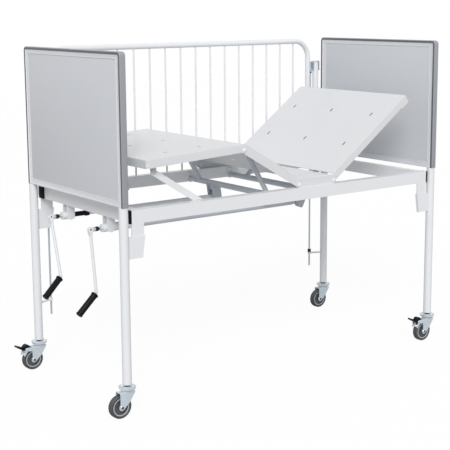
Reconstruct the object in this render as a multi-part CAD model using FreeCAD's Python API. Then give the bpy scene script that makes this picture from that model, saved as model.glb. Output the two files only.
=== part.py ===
import FreeCAD, Part
import math
import os

V = FreeCAD.Vector

# Pediatric hospital cot with a four-section mattress platform.  Millimetres, +Z up, floor at Z = 0.
# +X runs from the foot end, where the two cranks are, to the head end.  +Y runs to the gate side.
# Every piece is first built about the point midway between the four legs; the last step moves
# them all so that the origin lies under the middle of the whole cot.

# ---------------------------------------------------------------- driving dimensions
# legs and end boards
leg_span = 1600.0            # leg centres, along the cot
leg_track = 715.0            # leg centres, across the cot
leg_radius = 17.5
leg_wall = 2.0
leg_foot = 125.0             # lower end of the leg tube above the floor
spigot_radius = 11.0         # plug on top of the leg that enters the board frame
spigot_length = 110.0
board_bottom = 793.0
board_top = 1355.0
trim_half = 18.0             # half the trim's width along the cot
trim_wall = 2.5
trim_flange = 14.0           # how far the trim laps over the board's face
trim_overhang = 19.5         # trim's outer face beyond the leg axis
trim_corner = 16.0           # radius of the two upper corners
board_fit = 0.2              # gap between trim and board frame
border_show = 22.0           # board frame that shows inside the trim
border_foot = 24.0           # height of the lower border
bead_height = 1.6            # two fine beads along the border
bead_width = 2.4
laminate_half = 9.0

# bed frame
rail_bottom = 729.0
rail_height = 50.0
rail_depth = 36.0
rail_wall = 2.0
rail_overhang = 3.5          # rail's outer face beyond the leg axis
rail_end_gap = 33.0          # rail end to leg axis
plug_head = 9.0
plug_spigot = 18.0
tongue_width = 52.0
tongue_plate = 6.0
tongue_drop = 90.0
pocket_plate = 3.0
pocket_play = 0.5
pocket_top = 681.0
pocket_height = 82.0
pocket_taper = 12.0

# platform sections
sheet = 2.0
sheet_bend = 1.9             # outer radius where the sheet turns down into a lip
hinge_rise = 12.5            # hinge axis above the rail
sheet_rise = 25.5            # top of the sheet above the hinge axis
deep_lip = 37.7
shallow_lip = 33.0
ear_radius = 12.0
platform_gap = 5.5           # seat and calf lips inside the leg axes
lip_play = 0.5               # between lapping lips
thigh_hinge_x = 39.0
back_hinge_x = 226.0
thigh_length = 325.4
calf_length = 455.0
back_length = 529.0
thigh_raise = 30.3           # degrees from flat, as built
calf_tilt = 3.1              # the calf section falls towards the foot end
back_raise = 36.2
knee_setback = 3.0           # sheet edge to hinge axis, calf and thigh
seat_setback = 8.0           # sheet edge to hinge axis, thigh and seat
back_setback = 15.5          # sheet edge to hinge axis, seat and back
back_deep_end = 55.0         # length of the deep lip at the head end
back_notch = 4.0
slot_length = 22.0
slot_width = 7.0
slot_column = 258.0
calf_slot_near = 150.0       # slot rows to the section's hinge
calf_slot_far = 307.0
back_slot_near = 193.0
back_slot_far = 388.0
pin_radius = 4.0
pin_play = 0.08
bolt_head_radius = 8.0
bolt_head = 4.0

# calf struts
strut_foot_x = -372.0
strut_foot_z = 734.0
strut_pin_back = 401.3       # on the calf section, from the knee hinge
strut_pin_drop = 32.3
strut_width = 24.0
strut_plate = 4.0
strut_play = 3.0             # opened pivot at the calf end
tab_plate = 3.0

# lift shafts, arms and levers
shaft_radius = 12.5
shaft_bore = 9.5
bracket_plate = 6.0
bracket_radius = 17.0
stub_length = 13.0
knee_shaft_x = -36.0
knee_shaft_z = 744.0
knee_arm = 192.0
knee_arm_gap = 0.3
knee_arm_y = 240.0
arm_radius = 10.0
knee_lever = 71.0
knee_lever_lean = 9.0        # degrees towards the head end
channel_width = 40.0
channel_plate = 3.0
channel_depth = 26.0         # from the shaft's axis to the back of the web
knee_eye = 11.5
back_eye = 13.0
knee_eye_play = 2.6
back_eye_play = 1.2
back_shaft_x = 187.0
back_shaft_z = 742.0
back_arm = 220.0
back_arm_gap = 3.0
back_arm_y = 200.0
back_lever = 70.0
back_raise_per_turn = back_raise / 6.0
back_turns_up = 4.0

# cranks, screws and push tubes
knee_crank_y = 151.0
back_crank_y = -165.0
crank_z = 685.0
shaft_end_radius = 6.5
screw_radius = 6.0
bearing_radius = 16.0
bearing_length = 15.0
cheek_gap = 27.0
cheek_plate = 3.0
cheek_round = 18.0
collar_radius = 9.0
collar_length = 22.0
neck_length = 16.0
knuckle_gap = 11.0           # fold pivot of both cranks in front of the collar
knuckle_radius = 10.0
knuckle_plate = 6.3
crank_arm_radius = 6.0
crank_arm = 240.0
grip_slope = 41.0            # degrees below level
grip_radius = 12.5
grip_bead = 14.5
grip_length = 106.0
grip_core = 5.0
knee_crank_turn = -16.6      # degrees about X, as the cranks hang
back_crank_turn = -8.0
sleeve_length = 70.0
sleeve_radius = 10.0
sleeve_flare = 12.5
knee_tube_radius = 9.0
tube_blind_end = 60.0        # solid end of the knee push tube
knee_screw_length = 100.0    # beyond its seat
back_screw_length = 130.0
back_tube_radius = 15.0
back_tube_setback = 32.0     # tube's end short of the lever pin, clear of the leaning plates
guide_radius = 16.5
guide_length = 75.0
back_tube_inset = 38.0       # push tube's end inside the guide at rest

# drop gate on the +Y side
gate_y = 388.0
gate_x = 5.0
gate_tube = 12.0
gate_end_gap = 92.0          # stile's centre line inside the leg axis
gate_top = 1351.0
gate_foot = 745.0            # centre line of the lower tube
gate_corner = 80.0
bar_count = 16
bar_margin = 93.0            # outer bars to the stile's centre line
bar_radius = 4.0
gate_wall = 1.5
rod_radius = 4.0
rod_offset = 18.5            # rod centre outside the stile centre
rod_foot = 215.0
rod_top = 1190.0
eye_radius = 8.0
eye_height = 24.0
eye_play = 0.3
upper_eye = 1050.0
rod_bracket_z = 280.0
bracket_bar = 4.5
rubber_radius = 8.5
rubber_height = 14.0
post_radius = 15.0
post_gap = 25.5              # post centre outside the rod centre
post_wall = 1.5
post_y = 381.0
post_top = 1235.0
strap_plate = 3.0
strap_width = 18.0
strap_drop = 42.0
strap_air = 4.0

# castors
wheel_radius = 44.5
wheel_width = 24.0
rim_radius = 36.0
rim_wall = 6.0               # light ring between the tread and the dished centre
rim_width = 20.0
hub_radius = 9.0
tread_round = 4.0
castor_trail = 34.0
fork_plate = 2.5
fork_gap = 3.0
fork_crown = 100.0
fork_front = 6.5             # straight front edge of the cheeks, ahead of the axle
fork_back = 24.5             # upper rear corner of the cheeks, behind the leg axis
fork_knee = V(-0.5, 0, 59.0)  # where the rear edge turns in towards the axle
race_radius = 22.0
race_height = 3.0
axle_boss = 12.0
axle_radius = 4.0
axle_head = 6.5
axle_head_height = 3.5
flange_z = 106.5
flange_rise = 10.5
flange_radius = 33.5
hexagon = 12.0
hexagon_height = 14.0
kingpin_radius = 5.0
stem_radius = 9.0
stem_length = 38.0
pedal_pivot_back = 65.0
pedal_pivot_z = 93.0
pedal_pin = 2.5
pedal_swing = 20.0           # degrees from free to braked
pedal_play = 0.4
brake_arm = 7.5
brake_air = 0.2              # cam to tread with the brake on
shoe_air = 3.5               # brake shoe to tread
shoe_plate = 2.0
shoe_start = 133.0           # degrees round the wheel from its rear
shoe_end = 150.0
shoe_stud = 4.5

# ---------------------------------------------------------------- derived places
leg_x = leg_span / 2
leg_y = leg_track / 2
rail_top = rail_bottom + rail_height
rail_outer = leg_y + rail_overhang
rail_inner = rail_outer - rail_depth
rail_end = leg_x - rail_end_gap
trim_outer = leg_y + trim_overhang
border_outer = trim_outer - trim_wall - board_fit
border_half = trim_half - trim_wall - board_fit
border_top = board_top - trim_wall - board_fit
laminate_edge = trim_outer - trim_flange - border_show
laminate_top = board_top - trim_flange - border_show
laminate_bottom = board_bottom + border_foot
hinge_z = rail_top + hinge_rise
platform_top = hinge_z + sheet_rise
outer_half = leg_y - platform_gap
inner_half = outer_half - sheet - lip_play
knee_x = thigh_hinge_x - thigh_length * math.cos(math.radians(thigh_raise))
knee_z = hinge_z + thigh_length * math.sin(math.radians(thigh_raise))
cheek_front = -rail_end
cheek_back = -rail_end + rail_depth
bearing_front = cheek_front - bearing_length
screw_seat = cheek_back + sleeve_length
collar_back = bearing_front - neck_length
collar_front = collar_back - collar_length
knuckle_x = collar_front - knuckle_gap
gate_half = leg_x - gate_end_gap
bar_pitch = 2 * (gate_half - bar_margin) / (bar_count - 1)
gate_left = gate_x - gate_half
gate_right = gate_x + gate_half
rod_left = gate_left - rod_offset
rod_right = gate_right + rod_offset
reach_foot = (knuckle_x - (grip_length + 4.0) * math.cos(math.radians(grip_slope))
              - (grip_bead - 3.0) * math.sin(math.radians(grip_slope)))
fork_inner = wheel_width / 2 + fork_gap
fork_outer = fork_inner + fork_plate
reach_head = leg_x + flange_radius
reach_front = -leg_y - flange_radius
reach_gate = gate_y + gate_tube
shift = V(-(reach_foot + reach_head) / 2, -(reach_front + reach_gate) / 2, 0)


def arm_angle(along, down, raised, arm, rise):
    """Angle of a lift arm whose round tip just meets a section raised by that many degrees."""
    turn = math.radians(raised)
    height = rise + along * math.sin(turn) + down * math.cos(turn)
    return raised + math.degrees(math.asin(height / arm))


def tip_rise(gap):
    """Height of an arm tip's centre above the section's hinge line."""
    return sheet_rise - sheet - arm_radius - gap


knee_arm_rest = arm_angle(thigh_hinge_x - knee_shaft_x, hinge_z - knee_shaft_z, thigh_raise,
                          knee_arm, tip_rise(knee_arm_gap))
knee_arm_flat = arm_angle(thigh_hinge_x - knee_shaft_x, hinge_z - knee_shaft_z, 0.0,
                          knee_arm, tip_rise(knee_arm_gap))
knee_shaft_swing = knee_arm_rest - knee_arm_flat
back_raise_top = back_raise + back_turns_up * back_raise_per_turn
back_arm_rest = arm_angle(back_shaft_x - back_hinge_x, hinge_z - back_shaft_z, back_raise,
                          back_arm, tip_rise(back_arm_gap))
back_arm_flat = arm_angle(back_shaft_x - back_hinge_x, hinge_z - back_shaft_z, 0.0,
                          back_arm, tip_rise(back_arm_gap))
back_arm_top = arm_angle(back_shaft_x - back_hinge_x, hinge_z - back_shaft_z, back_raise_top,
                         back_arm, tip_rise(back_arm_gap))
back_shaft_ratio = (back_arm_top - back_arm_flat) / back_raise_top
lean = math.radians(knee_lever_lean)
lean_flat = math.radians(knee_lever_lean + knee_shaft_swing)
knee_pin = V(knee_shaft_x + knee_lever * math.sin(lean), 0, knee_shaft_z - knee_lever * math.cos(lean))
knee_pin_flat = V(knee_shaft_x + knee_lever * math.sin(lean_flat), 0,
                  knee_shaft_z - knee_lever * math.cos(lean_flat))
knee_travel = knee_pin_flat.x - knee_pin.x
back_pin = V(back_shaft_x, 0, back_shaft_z - back_lever)
swing_down = math.radians(back_raise * back_shaft_ratio)
swing_up = math.radians((back_raise_top - back_raise) * back_shaft_ratio)
back_travel = back_lever * (math.sin(swing_down) + math.sin(swing_up))
back_pin_high = back_shaft_z - back_lever * math.cos(swing_down)

nodes = {}


# ---------------------------------------------------------------- shared shapes
def block(x0, x1, y0, y1, z0, z1):
    return Part.makeBox(x1 - x0, y1 - y0, z1 - z0, V(x0, y0, z0))


def rod(start, end, radius):
    return Part.makeCylinder(radius, (end - start).Length, start, end - start)


def disc(x, z, radius, y0, y1):
    """Round plate or hole with its axis across the cot."""
    return Part.makeCylinder(radius, y1 - y0, V(x, y0, z), V(0, 1, 0))


def plate(points, y0, y1):
    """Flat plate across Y from an outline given as (x, z) points."""
    wire = Part.makePolygon([V(x, y0, z) for x, z in points + points[:1]])
    return Part.Face(wire).extrude(V(0, y1 - y0, 0))


def link(x0, z0, r0, x1, z1, r1, y0, y1):
    """Plate with two round ends and straight tangent sides."""
    span = math.hypot(x1 - x0, z1 - z0)
    heading = math.atan2(z1 - z0, x1 - x0)
    spread = math.acos((r0 - r1) / span)
    corners = []
    for turn in (heading + spread, heading - spread):
        corners.append(((x0 + r0 * math.cos(turn), z0 + r0 * math.sin(turn)),
                        (x1 + r1 * math.cos(turn), z1 + r1 * math.sin(turn))))
    outline = [corners[0][0], corners[0][1], corners[1][1], corners[1][0]]
    return fused([plate(outline, y0, y1), disc(x0, z0, r0, y0, y1), disc(x1, z1, r1, y0, y1)])


def fused(shapes):
    whole = shapes[0]
    for shape in shapes[1:]:
        whole = whole.fuse(shape)
    return whole.removeSplitter()


def side_span(side, inner, outer):
    """Y limits of something between two distances from the middle, on side +1 or -1."""
    return (inner, outer) if side > 0 else (-outer, -inner)


def group(shapes):
    return Part.makeCompound(shapes)


def turned(shape, centre, axis, degrees):
    copy = shape.copy()
    copy.rotate(centre, axis, degrees)
    return copy


def revolved(points, axis_at, axis):
    """Body of revolution from (along, radius) points about an axis through a point."""
    side = V(0, 0, 1) if abs(axis.z) < 0.9 else V(1, 0, 0)
    across = axis.cross(side).normalize()
    ring = [axis_at + axis * along + across * radius for along, radius in points]
    face = Part.Face(Part.makePolygon(ring + ring[:1]))
    return face.revolve(axis_at, axis, 360)


# ---------------------------------------------------------------- legs and end boards
def leg(x, y):
    outer = rod(V(x, y, leg_foot), V(x, y, board_bottom), leg_radius)
    bore = rod(V(x, y, leg_foot), V(x, y, board_bottom - 20.0), leg_radius - leg_wall)
    spigot = rod(V(x, y, board_bottom), V(x, y, board_bottom + spigot_length), spigot_radius)
    return outer.cut(bore).fuse(spigot)


def upright_slab(x, half, edge, z0, z1, corner):
    """Board-shaped slab whose two upper corners are rounded."""
    slab = block(x - half, x + half, -edge, edge, z0, z1)
    upper = [e for e in slab.Edges
             if abs(e.CenterOfMass.z - z1) < 0.01 and abs(abs(e.CenterOfMass.y) - edge) < 0.01]
    return slab.makeFillet(corner, upper)


def edge_trim(x):
    """Rounded plastic channel that is pushed over the top and both sides of the board."""
    body = upright_slab(x, trim_half, trim_outer, board_bottom, board_top, trim_corner)
    long_edges = [e for e in body.Edges
                  if abs(abs(e.CenterOfMass.x - x) - trim_half) < 0.01
                  and e.BoundBox.ZMax > board_bottom + 1]
    body = body.makeFillet(trim_wall * 1.6, long_edges)
    core = upright_slab(x, trim_half - trim_wall, trim_outer - trim_wall, board_bottom - 1,
                        board_top - trim_wall, trim_corner - trim_wall)
    window = upright_slab(x, trim_half + 1, trim_outer - trim_flange, board_bottom - 1,
                          board_top - trim_flange, 3.0)
    return body.cut(core).cut(window)


def board_frame(x):
    """White frame round the laminate, with two fine beads on each face."""
    body = upright_slab(x, border_half, border_outer, board_bottom, border_top,
                        trim_corner - trim_wall - board_fit)
    window = block(x - border_half - 1, x + border_half + 1, -laminate_edge, laminate_edge,
                   laminate_bottom, laminate_top)
    body = body.cut(window)
    for face in (-1, 1):
        for step in (1, 2):
            inset = step * border_show / 3
            x0 = x + face * border_half if face > 0 else x - border_half - bead_height / 2
            outer = (laminate_edge + inset, laminate_bottom - inset, laminate_top + inset)
            ring = block(x0, x0 + bead_height / 2, -outer[0], outer[0], outer[1], outer[2])
            hole = block(x0 - 1, x0 + bead_height, -outer[0] + bead_width, outer[0] - bead_width,
                         outer[1] + bead_width, outer[2] - bead_width)
            body = body.fuse(ring.cut(hole))
    for side in (-1, 1):
        foot = V(x, side * leg_y, board_bottom - 1)
        body = body.cut(rod(foot, foot + V(0, 0, spigot_length + 3), spigot_radius + pin_play))
    return body.removeSplitter()


def laminate(x):
    return block(x - laminate_half, x + laminate_half, -laminate_edge, laminate_edge,
                 laminate_bottom, laminate_top)


for end_name, end_x in (("foot", -leg_x), ("head", leg_x)):
    nodes["leg_" + end_name + "_front"] = leg(end_x, -leg_y)
    nodes["leg_" + end_name + "_rear"] = leg(end_x, leg_y)
    nodes[end_name + "_panel"] = laminate(end_x)
    nodes[end_name + "_panel_frame"] = board_frame(end_x)
    nodes[end_name + "_edge_trim"] = edge_trim(end_x)


# ---------------------------------------------------------------- bed frame
def side_rail(side):
    """Rectangular tube with a hooked tongue plate under each end."""
    y0, y1 = side_span(side, rail_inner, rail_outer)
    tube = block(-rail_end, rail_end, y0, y1, rail_bottom, rail_top)
    hollow = block(-rail_end - 1, rail_end + 1, y0 + rail_wall, y1 - rail_wall,
                   rail_bottom + rail_wall, rail_top - rail_wall)
    tube = tube.cut(hollow)
    t0, t1 = side_span(side, rail_outer - tongue_plate, rail_outer)
    for end in (-1, 1):
        outline = [(end * rail_end, rail_bottom), (end * (rail_end - tongue_width), rail_bottom),
                   (end * (rail_end - tongue_width), rail_bottom - tongue_drop / 2),
                   (end * (rail_end - tongue_width + pocket_taper), rail_bottom - tongue_drop),
                   (end * rail_end, rail_bottom - tongue_drop)]
        tube = tube.fuse(plate(outline, t0, t1))
    return tube.removeSplitter()


def cross_rail(end):
    x0, x1 = (rail_end - rail_depth, rail_end) if end > 0 else (-rail_end, -rail_end + rail_depth)
    tube = block(x0, x1, -rail_inner, rail_inner, rail_bottom, rail_top)
    hollow = block(x0 + rail_wall, x1 - rail_wall, -rail_inner - 1, rail_inner + 1,
                   rail_bottom + rail_wall, rail_top - rail_wall)
    return tube.cut(hollow)


def end_plug(end, side):
    y0, y1 = side_span(side, rail_inner, rail_outer)
    x_out = end * (rail_end + plug_head)
    x_face = end * rail_end
    x_in = end * (rail_end - plug_spigot)
    head = block(min(x_out, x_face), max(x_out, x_face), y0, y1, rail_bottom, rail_top)
    outer_edges = [e for e in head.Edges
                   if abs(e.CenterOfMass.x - x_out) < 0.01 or abs(e.CenterOfMass.x) > 1e9]
    head = head.makeFillet(3.0, outer_edges)
    inset = rail_wall + board_fit
    spigot = block(min(x_in, x_face), max(x_in, x_face), y0 + inset, y1 - inset,
                   rail_bottom + inset, rail_top - inset)
    return head.fuse(spigot)


def corner_pocket(end, side):
    """Tapered pocket, open above, welded to the leg; the rail's tongue drops into it."""
    right = leg_x - leg_radius
    left = rail_end - tongue_width - pocket_play - pocket_plate
    bottom = pocket_top - pocket_height
    y_out = rail_outer + pocket_play + pocket_plate
    y_in = rail_outer - tongue_plate - pocket_play - pocket_plate
    outline = [(end * left, pocket_top), (end * right, pocket_top), (end * right, bottom),
               (end * (left + pocket_taper), bottom)]
    p0, p1 = side_span(side, y_in, y_out)
    body = plate(outline, p0, p1)
    c0, c1 = side_span(side, y_in + pocket_plate, y_out - pocket_plate)
    cavity = [(end * (left + pocket_plate), pocket_top + 1), (end * (right - pocket_plate), pocket_top + 1),
              (end * (right - pocket_plate), bottom + pocket_plate),
              (end * (left + pocket_plate + pocket_taper), bottom + pocket_plate)]
    return body.cut(plate(cavity, c0, c1))


corners = [(end, side) for end in (-1, 1) for side in (-1, 1)]
nodes["front_side_rail"] = side_rail(-1)
nodes["rear_side_rail"] = side_rail(1)
nodes["foot_cross_rail"] = cross_rail(-1)
nodes["head_cross_rail"] = cross_rail(1)
nodes["rail_end_plugs"] = group([end_plug(end, side) for end, side in corners])
nodes["corner_pockets"] = group([corner_pocket(end, side) for end, side in corners])


# ---------------------------------------------------------------- platform sections
def vent_slots(rows):
    """Oblong drillings through the sheet, three in each row."""
    cuts = []
    for x in rows:
        for y in (-slot_column, 0.0, slot_column):
            z0 = sheet_rise - sheet - 1
            body = block(x - slot_width / 2, x + slot_width / 2, y - slot_length / 2 + slot_width / 2,
                         y + slot_length / 2 - slot_width / 2, z0, sheet_rise + 1)
            cuts.append(body)
            for end in (-1, 1):
                yc = y + end * (slot_length - slot_width) / 2
                cuts.append(Part.makeCylinder(slot_width / 2, sheet + 2, V(x, yc, z0)))
    return cuts


def tray(x0, x1, half, rows):
    """Flat sheet of a section, in its own frame: hinge axis at Z = 0."""
    top = block(x0, x1, -half, half, sheet_rise - sheet, sheet_rise)
    return top.cut(group(vent_slots(rows)))


def end_lip(x_outer, towards, half, depth):
    x_in = x_outer + towards * sheet
    return block(min(x_outer, x_in), max(x_outer, x_in), -half, half, sheet_rise - depth, sheet_rise)


def section_lips(half, outline, hinge_points):
    """Two turned-down side lips with round ears at the hinge points."""
    lips = []
    for side in (-1, 1):
        y0, y1 = side_span(side, half - sheet, half)
        lip = plate(outline, y0, y1)
        for x in hinge_points:
            lip = lip.fuse(disc(x, 0, ear_radius, y0, y1))
        for x in hinge_points:
            lip = lip.cut(disc(x, 0, pin_radius + pin_play, y0 - 1, y1 + 1))
        lips.append(lip)
    return lips


def bent(body, half, x_end):
    """Rounds the folds between a section's sheet and its lips."""
    folds = []
    for edge in body.Edges:
        middle = edge.CenterOfMass
        along = edge.tangentAt(edge.FirstParameter)
        side_fold = abs(abs(middle.y) - half) < 0.01 and abs(along.x) > 0.99
        end_fold = x_end is not None and abs(middle.x - x_end) < 0.01 and abs(along.y) > 0.99
        if abs(middle.z - sheet_rise) < 0.01 and edge.Length > 150.0 and (side_fold or end_fold):
            folds.append(edge)
    return body.makeFillet(sheet_bend, folds)


def seated(shape, x, z, degrees):
    """Section from its own frame to its hinge, raised by an angle about Y."""
    copy = shape.copy()
    copy.rotate(V(0, 0, 0), V(0, 1, 0), degrees)
    copy.translate(V(x, 0, z))
    return copy


def seat_section():
    span = back_hinge_x - thigh_hinge_x
    top = tray(seat_setback, span - back_setback, outer_half, [span / 2 - 14.0])
    low = -hinge_rise
    outline = [(-ear_radius + 2, 0), (-ear_radius + 4, sheet_rise), (span + ear_radius - 4, sheet_rise),
               (span + ear_radius - 2, 0), (span, low), (0, low)]
    body = bent(fused([top] + section_lips(outer_half, outline, [0, span])), outer_half, None)
    return seated(body, thigh_hinge_x, hinge_z, 0)


def thigh_section():
    top = tray(-thigh_length + knee_setback, -seat_setback, inner_half, [-thigh_length * 0.31,
                                                                         -thigh_length * 0.72])
    low = sheet_rise - deep_lip
    outline = [(0, low), (-thigh_length, low), (-thigh_length - 2, sheet_rise - 6),
               (-thigh_length + knee_setback, sheet_rise), (-seat_setback, sheet_rise), (ear_radius - 4, 4)]
    lips = section_lips(inner_half, outline, [0, -thigh_length])
    return seated(bent(fused([top] + lips), inner_half, None), thigh_hinge_x, hinge_z, thigh_raise)


def calf_section():
    top = tray(-calf_length, -knee_setback, outer_half, [-calf_slot_near, -calf_slot_far])
    low = sheet_rise - shallow_lip
    outline = [(ear_radius - 4, sheet_rise), (-calf_length, sheet_rise), (-calf_length, low),
               (-ear_radius, low), (0, -ear_radius), (ear_radius - 2, 0)]
    pieces = [top, end_lip(-calf_length, 1, outer_half, shallow_lip)]
    pieces += section_lips(outer_half, outline, [0])
    for side in (-1, 1):
        y1 = rail_inner - 2 * strut_plate
        t0, t1 = side_span(side, y1 - tab_plate, y1)
        under = sheet_rise - sheet
        tab = plate([(-strut_pin_back - 15, under), (-strut_pin_back + 15, under),
                     (-strut_pin_back + 12, -strut_pin_drop),
                     (-strut_pin_back - 12, -strut_pin_drop)], t0, t1)
        pieces += [tab, disc(-strut_pin_back, -strut_pin_drop, 12.0, t0, t1)]
        p0, p1 = side_span(side, y1, y1 + strut_plate + 1.2)
        pieces.append(disc(-strut_pin_back, -strut_pin_drop, pin_radius, p0, p1))
    return seated(bent(fused(pieces), outer_half, -calf_length), knee_x, knee_z, -calf_tilt)


def back_section():
    top = tray(back_setback, back_length, inner_half, [back_slot_near, back_slot_far])
    low = sheet_rise - shallow_lip
    deep = sheet_rise - deep_lip
    step = back_length - back_deep_end
    outline = [(-ear_radius + 5, 4), (back_setback, sheet_rise), (back_length, sheet_rise),
               (back_length, deep), (step + back_notch, deep), (step + back_notch, low + 4),
               (step, low + 4), (step, low), (ear_radius, low), (0, -ear_radius)]
    lips = section_lips(inner_half, outline, [0])
    body = fused([top, end_lip(back_length, -1, inner_half, deep_lip)] + lips)
    return seated(bent(body, inner_half, back_length), back_hinge_x, hinge_z, -back_raise)


def hinge_bolt(x, z, side, y_head, y_tail):
    """Domed bolt head outside, plain shank, thin nut inside."""
    y0, y1 = side_span(side, y_tail, y_head)
    shank = disc(x, z, pin_radius, y0, y1)
    profile = [(0, 0), (0, bolt_head_radius), (1.2, bolt_head_radius), (bolt_head, bolt_head_radius * 0.5),
               (bolt_head, 0)]
    head = revolved(profile, V(x, side * y_head, z), V(0, side, 0))
    n0, n1 = side_span(side, y_tail, y_tail + 3.5)
    nut = disc(x, z, pin_radius * 1.7, n0, n1)
    return fused([shank, head, nut])


nodes["seat_section"] = seat_section()
nodes["thigh_section"] = thigh_section()
nodes["calf_section"] = calf_section()
nodes["back_section"] = back_section()
bolt_tail = inner_half - sheet - 4.0
nodes["knee_hinge_bolts"] = group([hinge_bolt(knee_x, knee_z, side, outer_half, bolt_tail)
                                   for side in (-1, 1)])


# ---------------------------------------------------------------- calf struts
def calf_pin():
    """Strut pin on the calf section, at rest."""
    turn = math.radians(-calf_tilt)
    x, z = -strut_pin_back, -strut_pin_drop
    return V(knee_x + x * math.cos(turn) + z * math.sin(turn), 0,
             knee_z - x * math.sin(turn) + z * math.cos(turn))


strut_top = calf_pin()


def calf_strut(side):
    y_out = rail_inner - strut_plate
    y0, y1 = side_span(side, y_out - strut_plate, y_out)
    round_end = strut_width / 2
    bar = link(strut_foot_x, strut_foot_z, round_end, strut_top.x, strut_top.z, round_end, y0, y1)
    bar = bar.cut(disc(strut_foot_x, strut_foot_z, pin_radius + pin_play, y0 - 1, y1 + 1))
    return bar.cut(disc(strut_top.x, strut_top.z, pin_radius + strut_play, y0 - 1, y1 + 1))


def strut_pivot(side):
    """Pivot pin on the rail's inner face with its washer and retaining head."""
    y_wall = rail_inner
    w0, w1 = side_span(side, y_wall - strut_plate + 0.3, y_wall)
    s0, s1 = side_span(side, y_wall - 2 * strut_plate - 4.0, y_wall)
    h0, h1 = side_span(side, y_wall - 2 * strut_plate - 4.0, y_wall - 2 * strut_plate - 0.3)
    x, z = strut_foot_x, strut_foot_z
    return fused([disc(x, z, pin_radius, s0, s1), disc(x, z, 9.0, w0, w1), disc(x, z, 7.5, h0, h1)])


nodes["calf_struts"] = group([calf_strut(side) for side in (-1, 1)])
root_bolts = [hinge_bolt(x, hinge_z, side, outer_half, bolt_tail)
              for x in (thigh_hinge_x, back_hinge_x) for side in (-1, 1)]
root_bolts += [strut_pivot(side) for side in (-1, 1)]
nodes["frame_hinge_bolts"] = group(root_bolts)


# ---------------------------------------------------------------- lift shafts
shaft_half = rail_inner - bracket_plate - 0.3


def lift_shaft(x, z, arm, arm_y, arm_turn, lugs):
    """Torsion tube with two round arms welded to it."""
    tube = rod(V(x, -shaft_half, z), V(x, shaft_half, z), shaft_radius)
    turn = math.radians(arm_turn)
    for side in (-1, 1):
        tip = V(x + arm * math.cos(turn), side * arm_y, z + arm * math.sin(turn))
        tube = tube.fuse(rod(V(x, side * arm_y, z), tip, arm_radius))
        tube = tube.fuse(Part.makeSphere(arm_radius, tip))
    for lug in lugs:
        tube = tube.fuse(lug)
    bore = rod(V(x, -shaft_half - 1, z), V(x, shaft_half + 1, z), shaft_bore)
    return tube.cut(bore)


def shaft_bracket(x, z, side):
    """Ear on the rail's inner face whose stub carries the end of a lift shaft."""
    e0, e1 = side_span(side, rail_inner - bracket_plate, rail_inner)
    s0, s1 = side_span(side, rail_inner - bracket_plate - stub_length, rail_inner)
    ear = disc(x, z, bracket_radius, e0, e1)
    foot = block(x - bracket_radius, x + bracket_radius, e0, e1, z, min(z + 30.0, rail_top - 4))
    return fused([ear, foot, disc(x, z, shaft_bore - pin_play, s0, s1)])


half_channel = channel_width / 2
lug_half = half_channel - channel_plate - 0.2
lever_lug = turned(block(knee_shaft_x - 9, knee_shaft_x + 9,
                         knee_crank_y - lug_half, knee_crank_y + lug_half,
                         knee_shaft_z - shaft_radius - 16, knee_shaft_z - shaft_radius + 4),
                   V(knee_shaft_x, 0, knee_shaft_z), V(0, 1, 0), -knee_lever_lean)
nodes["knee_shaft"] = lift_shaft(knee_shaft_x, knee_shaft_z, knee_arm, knee_arm_y,
                                 180 - knee_arm_rest, [lever_lug])
nodes["back_shaft"] = lift_shaft(back_shaft_x, back_shaft_z, back_arm, back_arm_y, back_arm_rest, [])
nodes["shaft_brackets"] = group([shaft_bracket(x, z, side)
                                 for x, z in ((knee_shaft_x, knee_shaft_z), (back_shaft_x, back_shaft_z))
                                 for side in (-1, 1)])


def channel_lever():
    """Pressed channel, open towards the cranks, bolted to the lug of the knee shaft."""
    x, y, z = knee_shaft_x, knee_crank_y, knee_shaft_z
    low = z - knee_lever - 20.0
    outer = block(x - half_channel, x + channel_depth, y - half_channel, y + half_channel, low, z - 2)
    inner = block(x - half_channel - 1, x + channel_depth - channel_plate,
                  y - half_channel + channel_plate, y + half_channel - channel_plate, low - 1, z)
    body = outer.cut(inner)
    body = body.cut(disc(x, z, shaft_radius + 0.1, y - half_channel - 1, y + half_channel + 1))
    pin_z = z - knee_lever
    body = body.fuse(disc(x, pin_z, pin_radius + 1, y - half_channel - 3, y + half_channel + 3))
    for side in (-1, 1):
        n0, n1 = sorted((y + side * half_channel, y + side * (half_channel + 4.0)))
        body = body.fuse(disc(x, pin_z, 8.0, n0, n1))
        body = body.fuse(disc(x - 3, z - shaft_radius - 8, 6.5, n0, n1))
    return turned(body, V(x, 0, z), V(0, 1, 0), -knee_lever_lean)


def plate_lever():
    """Two triangular plates that straddle the push tube's eye."""
    x, y, z = back_shaft_x, back_crank_y, back_shaft_z
    pin_z = z - back_lever
    outline = [(x - 20, z + 6), (x - 14, pin_z + 4), (x - 8, pin_z - 8), (x + 17, pin_z - 20),
               (x + 24, pin_z - 14), (x + 62, z - 8), (x + 62, z + 6)]
    pieces = []
    for side in (-1, 1):
        p0, p1 = sorted((y + side * 5.0, y + side * 8.0))
        pieces.append(plate(outline, p0, p1).cut(disc(x, z, shaft_radius + 0.1, p0 - 1, p1 + 1)))
    web = block(x + 30, x + 56, y - 6, y + 6, z - 14, z - 8)
    pin = disc(x, pin_z, pin_radius + 1, y - 8, y + 8)
    heads = [disc(x, pin_z, 7.5, y - 12, y - 8), disc(x, pin_z, 7.5, y + 8, y + 12)]
    return fused(pieces + [web, pin] + heads)


nodes["knee_lever"] = channel_lever()
nodes["back_lever"] = plate_lever()


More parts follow.
